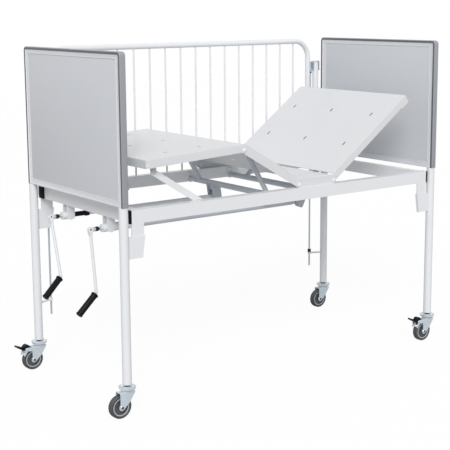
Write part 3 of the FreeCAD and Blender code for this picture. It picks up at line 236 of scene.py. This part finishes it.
def parts_of(tree, place):
    split = tree.nodes.new("ShaderNodeSeparateXYZ")
    tree.links.new(place, split.inputs[0])
    return split.outputs["X"], split.outputs["Y"], split.outputs["Z"]


def coat_node(material, *names):
    """Gives CAD pieces their finish through their own material slots."""
    for name in names:
        piece = node[name]
        if not piece.material_slots:
            piece.data.materials.append(material)
        for slot in piece.material_slots:
            slot.material = material


enamel = finish("baked_white_enamel", (0.83, 0.845, 0.865),
                shade=0.03, patch=5.0, gloss=0.34, spread=0.10, grain=1100.0, bump=0.10, coat=0.2)
coat_node(enamel, "leg_foot_front", "leg_foot_rear", "leg_head_front", "leg_head_rear")


# ---------------------------------------------------------------- board edging
# A strip of dark grey C section, pushed over the top and both sides of each board, with a
# round bullnose and two thin lips, painted darker as shade.  Its two upper corners are bent round.
edging_depth = 0.027
edging_inset = 0.0009
lip_blend = 0.0016
edging_corner = 0.016
bullnose = 0.0048
boards_mid = (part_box("foot_edge_trim")[0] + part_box("head_edge_trim")[1]) / 2
boards_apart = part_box("head_edge_trim")[0].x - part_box("foot_edge_trim")[0].x


def lips(tree, place):
    """1 on the two thin lips of the edging, where shade is painted darker, 0 on its back."""
    x, _, _ = parts_of(tree, place)
    from_board = reckon(tree, "SUBTRACT", reckon(tree, "ABSOLUTE", reckon(tree, "SUBTRACT", x, boards_mid.x)),
                        boards_apart / 2)
    step = tree.nodes.new("ShaderNodeMapRange")
    step.inputs["From Min"].default_value = edging_depth / 2 - lip_blend
    step.inputs["From Max"].default_value = edging_depth / 2 - lip_blend / 8
    tree.links.new(reckon(tree, "ABSOLUTE", from_board), step.inputs["Value"])
    return step.outputs["Result"]


edge_plastic = finish("grey_edging", (0.35, 0.36, 0.39),
                      shade=0.05, patch=5.0, gloss=0.40, spread=0.10, grain=1800.0, bump=0.14)
# Painted shade: the edging's lips are laid over in a darker grey.
painted(edge_plastic, (0.115, 0.125, 0.15), lips)
edging_lap = 0.0108
edging_wall = 0.0021


def start_block(name, low, high):
    """A block between two corners, with its place in its mesh, open in edit mode and not selected."""
    bpy.ops.object.select_all(action="DESELECT")
    bpy.ops.mesh.primitive_cube_add(size=1.0, location=[(a + b) / 2 for a, b in zip(low, high)])
    piece = bpy.context.object
    piece.name = piece.data.name = name
    piece.scale = [b - a for a, b in zip(low, high)]
    bpy.ops.object.transform_apply(location=True, rotation=False, scale=True)
    bpy.ops.object.mode_set(mode="EDIT")
    bpy.ops.mesh.select_all(action="DESELECT")
    return piece


def pick(piece, kind, wanted):
    """Selects the faces, edges or points for which wanted(item) holds, and nothing else."""
    bpy.context.tool_settings.mesh_select_mode = (kind == "VERT", kind == "EDGE", kind == "FACE")
    bpy.ops.mesh.select_all(action="DESELECT")
    mesh = bmesh.from_edit_mesh(piece.data)
    for item in {"VERT": mesh.verts, "EDGE": mesh.edges, "FACE": mesh.faces}[kind]:
        if wanted(item):
            item.select_set(True)
    mesh.select_flush_mode()
    bmesh.update_edit_mesh(piece.data)


def middle_of(edge):
    return (edge.verts[0].co + edge.verts[1].co) / 2


def runs_along(edge, axis):
    run = edge.verts[1].co - edge.verts[0].co
    return abs(run[axis]) > 0.999 * run.length


def dressed(piece, material, body, smooth=35.0):
    """Leaves edit mode, smooths the round faces and gives the piece its finish and its body."""
    if bpy.context.mode == "EDIT_MESH":
        bpy.ops.object.mode_set(mode="OBJECT")
    bpy.ops.object.select_all(action="DESELECT")
    piece.select_set(True)
    bpy.context.view_layer.objects.active = piece
    for modifier in list(piece.modifiers):
        bpy.ops.object.modifier_apply(modifier=modifier.name)
    bpy.ops.object.shade_smooth_by_angle(angle=math.radians(smooth))
    piece.data.materials.clear()
    piece.data.materials.append(material)
    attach(piece, body)
    bpy.ops.object.select_all(action="DESELECT")
    return piece


def softened(piece, width, segments=2, angle=35.0):
    """Rounds the piece's sharp edges."""
    round_off = piece.modifiers.new("round_off", "BEVEL")
    round_off.width = width
    round_off.segments = segments
    round_off.limit_method = "ANGLE"
    round_off.angle_limit = math.radians(angle)
    round_off.harden_normals = False


def edging(end):
    low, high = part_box(end + "_edge_trim")
    mid_x = (low[0] + high[0]) / 2
    left, right = low[1] + edging_inset, high[1] - edging_inset
    piece = start_block(end + "_edging", (mid_x - edging_depth / 2, left, low[2]),
                        (mid_x + edging_depth / 2, right, high[2]))
    pick(piece, "EDGE", lambda e: runs_along(e, 0) and middle_of(e).z > high[2] - 0.001)
    bpy.ops.mesh.bevel(offset=edging_corner, segments=8, affect="EDGES")
    pick(piece, "FACE", lambda f: f.normal.z < -0.9)
    bpy.ops.mesh.delete(type="FACE")
    pick(piece, "FACE", lambda f: abs(f.normal.x) > 0.9)
    bpy.ops.mesh.inset(thickness=edging_lap, depth=0.0, use_boundary=True, use_individual=True)
    bpy.ops.mesh.delete(type="FACE")
    pick(piece, "FACE", lambda f: abs(f.normal.x) > 0.9 and f.calc_center_median().z < low[2] + edging_lap)
    bpy.ops.mesh.delete(type="FACE")
    pick(piece, "VERT", lambda v: abs(v.co.z - low[2] - edging_lap) < 0.0005)
    bpy.ops.transform.translate(value=(0, 0, -edging_lap))
    pick(piece, "EDGE", lambda e: len(e.link_faces) == 2 and e.calc_face_angle() > 1.2
         and abs(middle_of(e).x - mid_x) > edging_depth / 2 - 0.0005)
    bpy.ops.mesh.bevel(offset=bullnose, segments=5, affect="EDGES")
    bpy.ops.object.mode_set(mode="OBJECT")
    wall = piece.modifiers.new("wall", "SOLIDIFY")
    wall.thickness = edging_wall
    wall.offset = -1.0
    wall.use_even_offset = True
    softened(piece, 0.0005)
    dressed(piece, edge_plastic, "bed_frame")
    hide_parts(end + "_edge_trim")
    return piece


edging("foot")
edging("head")


# ---------------------------------------------------------------- board rivets
# A small bright steel rivet through the edging near the foot of each side, set in the strip's
# middle line.  Its domed head has the small sunk centre that a pulled mandrel leaves.
bright_steel = finish("bright_steel", (0.42, 0.44, 0.46),
                      shade=0.12, patch=30.0, gloss=0.30, spread=0.15, grain=2200.0, bump=0.10, metallic=0.9)


def start_disc(name, centre, radius, height, sides=20, axis="Z"):
    """A short round bar with its middle at centre, open in edit mode and not selected."""
    bpy.ops.object.select_all(action="DESELECT")
    turn = {"X": (0, math.pi / 2, 0), "Y": (math.pi / 2, 0, 0), "Z": (0, 0, 0)}[axis]
    bpy.ops.mesh.primitive_cylinder_add(vertices=sides, radius=radius, depth=height, location=centre,
                                        rotation=turn)
    piece = bpy.context.object
    piece.name = piece.data.name = name
    bpy.ops.object.transform_apply(location=True, rotation=True, scale=True)
    bpy.ops.object.mode_set(mode="EDIT")
    bpy.ops.mesh.select_all(action="DESELECT")
    return piece


def placed_copy(piece, name, matrix):
    """Another of a piece, with its own mesh, carried to its place."""
    other = piece.copy()
    other.data = piece.data.copy()
    other.name = other.data.name = name
    bpy.context.scene.collection.objects.link(other)
    other.data.transform(matrix)
    return other


def rivet(radius, rise, outward):
    """Domed head with a small sunk middle, standing on the plane y = 0."""
    piece = start_disc("rivet", (0, outward * rise / 2, 0), radius, rise, 20, "Y")
    pick(piece, "FACE", lambda f: f.normal.y * outward > 0.9)
    bpy.ops.mesh.inset(thickness=radius * 0.22, depth=0.0)
    pick(piece, "EDGE", lambda e: middle_of(e).y * outward > rise * 0.9
         and math.hypot(middle_of(e).x, middle_of(e).z) > radius * 0.9)
    bpy.ops.mesh.bevel(offset=rise * 0.7, segments=3, affect="EDGES")
    pick(piece, "FACE", lambda f: f.normal.y * outward > 0.9 and len(f.verts) > 8)
    bpy.ops.mesh.inset(thickness=radius * 0.20, depth=0.0)
    bpy.ops.mesh.inset(thickness=radius * 0.10, depth=-rise * 0.45)
    bpy.ops.object.mode_set(mode="OBJECT")
    return piece


edging_rivet_up = 0.0185
edging_rivet_radius = 0.0034
edging_rivet_rise = 0.0011
rivets = {outward: rivet(edging_rivet_radius, edging_rivet_rise, outward) for outward in (-1, 1)}
for end in ("foot", "head"):
    low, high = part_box(end + "_edge_trim")
    for outward, side, name in ((-1, low.y + edging_inset, "front"), (1, high.y - edging_inset, "rear")):
        place = Matrix.Translation(((low.x + high.x) / 2, side, low.z + edging_rivet_up))
        piece = placed_copy(rivets[outward], "edging_rivet_" + end + "_" + name, place)
        dressed(piece, bright_steel, "bed_frame")
for outward in (-1, 1):
    bpy.data.objects.remove(rivets[outward])


# ---------------------------------------------------------------- board frame and panel
# A white moulded frame with a rounded rib along its inner edge, painted brighter as a highlight,
# mitred at the corners, and the grey laminate panel that sits in it, the same on both faces.
laminate = finish("grey_laminate", (0.655, 0.672, 0.705),
                  shade=0.035, patch=2.2, gloss=0.42, spread=0.10, grain=2600.0, bump=0.12)
frame_show = 0.0225
frame_show_top = 0.0175
frame_show_foot = 0.0235
frame_under = 0.0042                  # the frame's edge inside the edging's wall
frame_play = 0.0004
rib = (0.0008, 0.0030, 0.0008)        # flank, crown and flank of the outer rib
bead = (0.0006, 0.0006, 0.0018, 0.0010)   # groove, flank, crown and fall to the panel
rib_blend = 0.0006
panel_half = 0.009
panel_lap = 0.004


def painted_rib_highlight(tree, place):
    """1 on the rib that runs just inside the edging, where a highlight is painted bright."""
    _, y, z = parts_of(tree, place)
    low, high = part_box("foot_edge_trim")
    aside = reckon(tree, "SUBTRACT", reckon(tree, "ABSOLUTE", reckon(tree, "SUBTRACT", y, boards_mid.y)),
                   (high.y - low.y) / 2 - edging_inset - edging_lap)
    above = reckon(tree, "SUBTRACT", z, high.z - edging_lap)
    step = tree.nodes.new("ShaderNodeMapRange")
    rib_end = frame_play + sum(rib)
    step.inputs["From Min"].default_value = -rib_end - rib_blend
    step.inputs["From Max"].default_value = -rib_end + rib_blend
    tree.links.new(reckon(tree, "MAXIMUM", aside, above), step.inputs["Value"])
    return step.outputs["Result"]


frame_plastic = finish("white_moulding", (0.76, 0.775, 0.80),
                       shade=0.03, patch=4.0, gloss=0.38, spread=0.08, grain=1500.0, bump=0.08)
# Painted highlight: the rib just inside the edging is laid over in near white.
painted(frame_plastic, (0.93, 0.935, 0.95), painted_rib_highlight)


def board_frame(end):
    low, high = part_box(end + "_edge_trim")
    mid_x = (low[0] + high[0]) / 2
    inside = edging_wall + frame_under
    left, right = low[1] + edging_inset + inside, high[1] - edging_inset - inside
    half = edging_depth / 2 - edging_wall - frame_play
    piece = start_block(end + "_board_frame", (mid_x - half, left, low[2]),
                        (mid_x + half, right, high[2] - inside))
    pick(piece, "FACE", lambda f: abs(f.normal.x) > 0.9)
    hidden = edging_lap - inside - frame_play
    flat = frame_show - sum(rib) - sum(bead)
    steps = ((hidden, 0.0), (rib[0], 0.0009), (rib[1], 0.0), (rib[2], -0.0014), (flat, 0.0),
             (bead[0], -0.0007), (bead[1], 0.0016), (bead[2], 0.0), (bead[3], -0.0031))
    for thickness, depth in steps:
        bpy.ops.mesh.inset(thickness=thickness, depth=depth, use_individual=True)
    bpy.ops.mesh.delete(type="FACE")
    outside = hidden + 0.0005
    pick(piece, "VERT", lambda v: v.co.z > (low[2] + high[2]) / 2 and v.co.z < high[2] - inside - outside
         and left + outside < v.co.y < right - outside)
    bpy.ops.transform.translate(value=(0, 0, frame_show - frame_show_top))
    pick(piece, "VERT", lambda v: v.co.z < (low[2] + high[2]) / 2 and v.co.z > low[2] + outside
         and left + outside < v.co.y < right - outside)
    bpy.ops.transform.translate(value=(0, 0, frame_show_foot - frame_show - hidden))
    pick(piece, "EDGE", lambda e: len(e.link_faces) == 1)
    bpy.ops.mesh.bridge_edge_loops()
    bpy.ops.mesh.select_all(action="SELECT")
    bpy.ops.mesh.normals_make_consistent(inside=False)
    bpy.ops.object.mode_set(mode="OBJECT")
    softened(piece, 0.0006, 2, 30.0)
    dressed(piece, frame_plastic, "bed_frame")
    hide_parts(end + "_panel_frame")

    shown = edging_lap + frame_show
    panel = start_block(end + "_board_panel",
                        (mid_x - panel_half, low[1] + edging_inset + shown - panel_lap,
                         low[2] + frame_show_foot - panel_lap),
                        (mid_x + panel_half, high[1] - edging_inset - shown + panel_lap,
                         high[2] - edging_lap - frame_show_top + panel_lap))
    pick(panel, "FACE", lambda f: abs(f.normal.x) > 0.9)
    bpy.ops.mesh.inset(thickness=0.0012, depth=0.0, use_individual=True)
    pick(panel, "FACE", lambda f: abs(f.normal.x) > 0.9 and f.calc_area() > 0.05)
    bpy.ops.mesh.inset(thickness=0.0008, depth=0.0004, use_individual=True)
    softened(panel, 0.0004)
    dressed(panel, laminate, "bed_frame")
    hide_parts(end + "_panel")


board_frame("foot")
board_frame("head")


# ---------------------------------------------------------------- bed frame
# Side rails of rectangular tube with hooked tongues that drop into pockets on the legs,
# cross rails, and black push-in end plugs.
black_plastic = finish("black_moulding", (0.007, 0.007, 0.008),
                       shade=0.10, patch=9.0, gloss=0.26, spread=0.06, grain=1600.0, bump=0.04)
black_plastic.node_tree.nodes["Principled BSDF"].inputs["Specular IOR Level"].default_value = 0.13
coat_node(enamel, "front_side_rail", "rear_side_rail", "foot_cross_rail", "head_cross_rail", "corner_pockets")
coat_node(black_plastic, "rail_end_plugs")


# ---------------------------------------------------------------- platform
# Four sections of 2 mm sheet with turned-down lips, enamelled white and hinged on bolts through
# the lips.  Eyelets, painted dark as the shade inside the slots, line the long vent slots that are
# pressed along the calf and back sheets, and a rivet closes the folded corner of the calf lip.
platform_enamel = finish("platform_enamel", (0.745, 0.757, 0.775),
                         shade=0.03, patch=3.5, gloss=0.36, spread=0.10, grain=1000.0, bump=0.10, coat=0.15)
coat_node(platform_enamel, "seat_section", "thigh_section", "calf_section", "back_section")
coat_node(enamel, "frame_hinge_bolts", "knee_hinge_bolts", "calf_struts")
# Painted shade: the eyelets are made dark to stand for the shade inside the vent slots.
eyelet_painted_shade = finish("eyelet_painted_shade", (0.20, 0.205, 0.215),
                      shade=0.12, patch=40.0, gloss=0.48, spread=0.12, grain=1800.0, bump=0.1, metallic=0.2)
sheet_top = 0.0255                    # above the section's hinge axis
sheet_wall = 0.0020
slot_radius = 0.0035
slot_run = 0.0075                     # slot's middle to each round end's centre
slot_columns = (-0.258, 0.0, 0.258)
along_sides = 26
across_sides = 22
eyelet_radius = 0.00345
eyelet_wall = 0.0007
eyelet_depth = 0.0080
eyelet_sink = 0.0003
bolt_head = 0.008
calf_lean = 3.1
back_lean = 36.2


def long_hole(name, radius, height, run, axis):
    """Round-ended bar of a slot's outline below a sheet's top, open in edit mode; the hinge axis is y."""
    sides = across_sides if axis else along_sides
    piece = start_disc(name, (0, 0, sheet_top - height / 2), radius, height, sides)
    for side in (-1, 1):
        pick(piece, "VERT", lambda v: v.co[axis] * side > 0 and abs(v.co[axis]) < 0.004)
        bpy.ops.transform.translate(value=[side * run if k == axis else 0 for k in range(3)])
    return piece


def eyelet():
    """Long thin-walled eyelet that stands in a vent slot."""
    piece = long_hole("eyelet", eyelet_radius, eyelet_depth, slot_run, 0)
    pick(piece, "FACE", lambda f: abs(f.normal.z) > 0.9)
    bpy.ops.mesh.inset(thickness=eyelet_wall, depth=0.0, use_individual=True)
    bpy.ops.mesh.delete(type="FACE")
    pick(piece, "EDGE", lambda e: len(e.link_faces) == 1)
    bpy.ops.mesh.bridge_edge_loops()
    bpy.ops.mesh.select_all(action="SELECT")
    bpy.ops.mesh.normals_make_consistent(inside=False)
    bpy.ops.transform.translate(value=(0, 0, -eyelet_sink))
    bpy.ops.object.mode_set(mode="OBJECT")
    softened(piece, 0.0002)
    return piece


def combined(piece, tool, operation):
    """Joins a tool to the piece or cuts it out, and removes the tool."""
    step = piece.modifiers.new(operation.lower(), "BOOLEAN")
    step.operation = operation
    step.solver = "EXACT"
    step.object = tool
    bpy.ops.object.select_all(action="DESELECT")
    piece.select_set(True)
    bpy.context.view_layer.objects.active = piece
    bpy.ops.object.modifier_apply(modifier=step.name)
    bpy.data.objects.remove(tool)


calf_bolt = (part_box("knee_hinge_bolts")[0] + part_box("knee_hinge_bolts")[1]) / 2
last_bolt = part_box("frame_hinge_bolts")[1]
back_bolt = Vector((last_bolt.x - bolt_head, calf_bolt.y, last_bolt.z - bolt_head))
# First the slot pressed across the sheet is closed, then the one along it is cut.
closed = ("UNION", (slot_radius + 0.0002, sheet_wall - 0.0001, slot_run + 0.0002, 1), -0.00005)
opened = ("DIFFERENCE", (slot_radius, 3 * sheet_wall, slot_run, 0), sheet_wall)
first_eyelet = eyelet()
for label, hinge, lean, rows in (("calf", calf_bolt, -calf_lean, (-0.150, -0.307)),
                                 ("back", back_bolt, -back_lean, (0.193, 0.388))):
    sheet = placed_copy(node[label + "_section"], label + "_sheet", Matrix.Identity(4))
    bpy.context.view_layer.objects.active = sheet
    bpy.ops.mesh.customdata_custom_splitnormals_clear()
    bpy.ops.object.mode_set(mode="EDIT")
    bpy.ops.mesh.select_all(action="SELECT")
    bpy.ops.mesh.remove_doubles(threshold=0.00001)
    bpy.ops.object.mode_set(mode="OBJECT")
    for row, along in enumerate(rows):
        for column, aside in enumerate(slot_columns):
            matrix = (Matrix.Translation(hinge) @ Matrix.Rotation(math.radians(lean), 4, "Y")
                      @ Matrix.Translation((along, aside, 0)))
            for operation, outline, raised in (closed, opened):
                tool = long_hole("tool", *outline)
                bpy.ops.mesh.select_all(action="SELECT")
                bpy.ops.transform.translate(value=(0, 0, raised))
                bpy.ops.object.mode_set(mode="OBJECT")
                tool.data.transform(matrix)
                combined(sheet, tool, operation)
            piece = placed_copy(first_eyelet, f"{label}_eyelet_{row}{column}", matrix)
            dressed(piece, eyelet_painted_shade, label + "_section")
    dressed(sheet, platform_enamel, label + "_section", 30.0)
    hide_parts(label + "_section")
bpy.data.objects.remove(first_eyelet)
calf_rivet_radius = 0.0050
calf_rivet_rise = 0.0013
calf_rivet_place = (-0.643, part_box("calf_section")[0].y, 0.935)
first_rivet = rivet(calf_rivet_radius, calf_rivet_rise, -1)
calf_rivet = placed_copy(first_rivet, "calf_corner_rivet", Matrix.Translation(calf_rivet_place))
bpy.data.objects.remove(first_rivet)
dressed(calf_rivet, enamel, "calf_section")


# ---------------------------------------------------------------- lifts
# Torsion tubes with arms and levers under the platform, turned by push tubes.  They are pale grey
# enamel on steel, apart from the white knee push tube, and run in white brackets welded to the frame.
grey_enamel = finish("pale_grey_enamel", (0.56, 0.60, 0.65),
                     shade=0.05, patch=8.0, gloss=0.36, spread=0.10, grain=1200.0, bump=0.12)
coat_node(grey_enamel, "knee_shaft", "back_shaft", "knee_lever", "back_lever", "back_tube")
coat_node(enamel, "shaft_brackets", "crank_brackets", "knee_tube")
coat_node(black_plastic, "knee_sleeve")


# ---------------------------------------------------------------- cranks
# Steel screw shafts with a dark collar, white arms that fold on a steel pin in the knuckle, and
# black moulded grips that spin on the arm's end.
collar_mid = -0.7585
collar_half = 0.0090
knuckle_x = -0.78697
crank_height = 0.685
pin_radius = 0.0033


def collar(tree, place):
    """1 on the turned collar behind the knuckle."""
    x, _, _ = parts_of(tree, place)
    from_collar = reckon(tree, "ABSOLUTE", reckon(tree, "SUBTRACT", x, collar_mid))
    return reckon(tree, "LESS_THAN", from_collar, collar_half)


def distance(tree, across, up):
    squares = reckon(tree, "ADD", reckon(tree, "MULTIPLY", across, across), reckon(tree, "MULTIPLY", up, up))
    return reckon(tree, "SQRT", squares)


def knuckle_pin(lean, line):
    """Mask for the ends of the pin that a crank folds on."""
    def ends(tree, place):
        turned = tree.nodes.new("ShaderNodeMapping")
        turned.vector_type = "TEXTURE"
        turned.inputs["Location"].default_value = (knuckle_x, line, crank_height)
        turned.inputs["Rotation"].default_value = (math.radians(lean), 0, 0)
        tree.links.new(place, turned.inputs["Vector"])
        x, _, z = parts_of(tree, turned.outputs["Vector"])
        return reckon(tree, "LESS_THAN", distance(tree, x, z), pin_radius)
    return ends


shaft_steel = finish("shaft_steel", (0.70, 0.72, 0.74),
                     shade=0.10, patch=30.0, gloss=0.30, spread=0.12, grain=2200.0, bump=0.10, metallic=0.6)
painted(shaft_steel, (0.035, 0.038, 0.040), collar)
coat_node(shaft_steel, "knee_crank_shaft", "back_crank_shaft")
hanging = (("knee", -16.6, 0.1465), ("back", -8.0, -0.1695))      # degrees about X, and the shaft's Y
for lift, lean, line in hanging:
    arm_enamel = finish(lift + "_arm_enamel", (0.80, 0.815, 0.835),
                        shade=0.03, patch=5.0, gloss=0.34, spread=0.10, grain=1100.0, bump=0.10, coat=0.2)
    painted(arm_enamel, (0.05, 0.052, 0.055), knuckle_pin(lean, line))
    coat_node(arm_enamel, lift + "_crank_arm")
coat_node(black_plastic, "knee_crank_grip", "back_crank_grip")


# ---------------------------------------------------------------- drop gate
# A bent tube with thin upright bars, enamelled white.  Its four eyes run on two zinc-plated rods
# that arms hold off the rear legs, with black rubber stops and bushes.
zinc = finish("zinc_plate", (0.60, 0.66, 0.71),
              shade=0.16, patch=24.0, gloss=0.34, spread=0.14, grain=1500.0, bump=0.12, metallic=0.75)
rubber = finish("black_rubber", (0.022, 0.022, 0.024),
                shade=0.15, patch=20.0, gloss=0.7, spread=0.1, grain=1400.0, bump=0.2)
coat_node(enamel, "gate_frame", "gate_bars", "rod_brackets", "gate_posts")
coat_node(zinc, "guide_rods", "gate_straps")
coat_node(rubber, "rod_collars")


# ---------------------------------------------------------------- castors
# Pressed zinc forks under a swivel disc that a hexagon nut holds in the leg, with the nut painted near
# black above the disc as shade; dark grey treads whose two grooves and step are dark lines of painted
# shade, on a pale ring whose dished centre is painted dark as shade; two castors have black brakes.
disc_top = 0.1178
web_radius = 0.0297
ring_radius = 0.0337
tread_step = 0.0392
groove_aside = 0.0062
axle_end = 0.0209                     # wheel's middle to the outside of a cheek
axle_radius = 0.0050
axle_rise = 0.0012


def painted_shade_above_disc(tree, place):
    _, _, z = parts_of(tree, place)
    return reckon(tree, "GREATER_THAN", z, disc_top)


stem_zinc = finish("stem_zinc", (0.80, 0.84, 0.88),
                   shade=0.14, patch=26.0, gloss=0.30, spread=0.12, grain=1500.0, bump=0.12, metallic=0.5)
# Painted shade: above the swivel disc the stem and its nut are laid over in near black.
painted(stem_zinc, (0.02, 0.02, 0.024), painted_shade_above_disc)
coat_node(stem_zinc, "castor_stems")
fork_zinc = finish("fork_zinc", (0.71, 0.79, 0.85),
                   shade=0.14, patch=26.0, gloss=0.30, spread=0.12, grain=1500.0, bump=0.12, metallic=0.5)


def from_axle(tree, place, axle):
    """Distance from the wheel's axle, and distance to one side of its middle."""
    centred = tree.nodes.new("ShaderNodeMapping")
    centred.inputs["Location"].default_value = [-value for value in axle]
    tree.links.new(place, centred.inputs["Vector"])
    x, y, z = parts_of(tree, centred.outputs["Vector"])
    return distance(tree, x, z), reckon(tree, "ABSOLUTE", y)


def wheel_finishes(corner):
    low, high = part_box("castor_rim_" + corner)
    axle = (low + high) / 2

    def centre(tree, place):
        radius, _ = from_axle(tree, place, axle)
        inner = reckon(tree, "LESS_THAN", radius, web_radius)
        return reckon(tree, "MAXIMUM", inner, reckon(tree, "GREATER_THAN", radius, ring_radius))

    def painted_groove_shade(tree, place):
        radius, aside = from_axle(tree, place, axle)
        from_groove = reckon(tree, "ABSOLUTE", reckon(tree, "SUBTRACT", aside, groove_aside))
        from_step = reckon(tree, "ABSOLUTE", reckon(tree, "SUBTRACT", radius, tread_step))
        near = reckon(tree, "LESS_THAN", from_groove, 0.0007)
        step = reckon(tree, "LESS_THAN", from_step, 0.0005)
        return reckon(tree, "MAXIMUM", near, step)

    ring = finish("wheel_ring_" + corner, (0.50, 0.51, 0.54),
                  shade=0.08, patch=25.0, gloss=0.36, spread=0.1, grain=1700.0, bump=0.1)
    # Painted shade: the dished centre inside the web is laid over dark; beyond the ring the dark is the
    # tyre's own colour.
    painted(ring, (0.085, 0.087, 0.094), centre)
    tread = finish("grey_tread_" + corner, (0.070, 0.072, 0.079),
                   shade=0.15, patch=30.0, gloss=0.50, spread=0.12, grain=1700.0, bump=0.2)
    # Painted shade: dark lines along the tread's two grooves and its step.
    painted(tread, (0.022, 0.022, 0.025), painted_groove_shade)
    coat_node(ring, "castor_rim_" + corner)
    coat_node(tread, "castor_tyre_" + corner)
    return axle


dark_steel = finish("dark_steel", (0.10, 0.10, 0.105),
                    shade=0.15, patch=60.0, gloss=0.38, spread=0.12, grain=2200.0, bump=0.1, metallic=0.8)


def axle_head(outward):
    """Rolled-over end of the wheel's axle: a dark round head with a sunk middle."""
    piece = start_disc("axle_head", (0, outward * axle_rise / 2, 0), axle_radius, axle_rise, 24, "Y")
    pick(piece, "FACE", lambda f: f.normal.y * outward > 0.9)
    bpy.ops.mesh.inset(thickness=0.0011, depth=0.0005)
    bpy.ops.mesh.inset(thickness=0.0006, depth=0.0)
    bpy.ops.mesh.inset(thickness=0.0004, depth=-0.0008)
    bpy.ops.object.mode_set(mode="OBJECT")
    softened(piece, 0.0002)
    return piece


heads = {outward: axle_head(outward) for outward in (-1, 1)}
for corner in ("foot_front", "foot_rear", "head_front", "head_rear"):
    coat_node(fork_zinc, "castor_fork_" + corner)
    axle = wheel_finishes(corner)
    for outward, side in ((-1, "front"), (1, "rear")):
        place = Matrix.Translation((axle.x, axle.y + outward * axle_end, axle.z))
        piece = placed_copy(heads[outward], "axle_" + corner + "_" + side, place)
        dressed(piece, dark_steel, "castor_fork_" + corner)
for outward in (-1, 1):
    bpy.data.objects.remove(heads[outward])
coat_node(black_plastic, "brake_pedal_foot_rear", "brake_pedal_head_front")
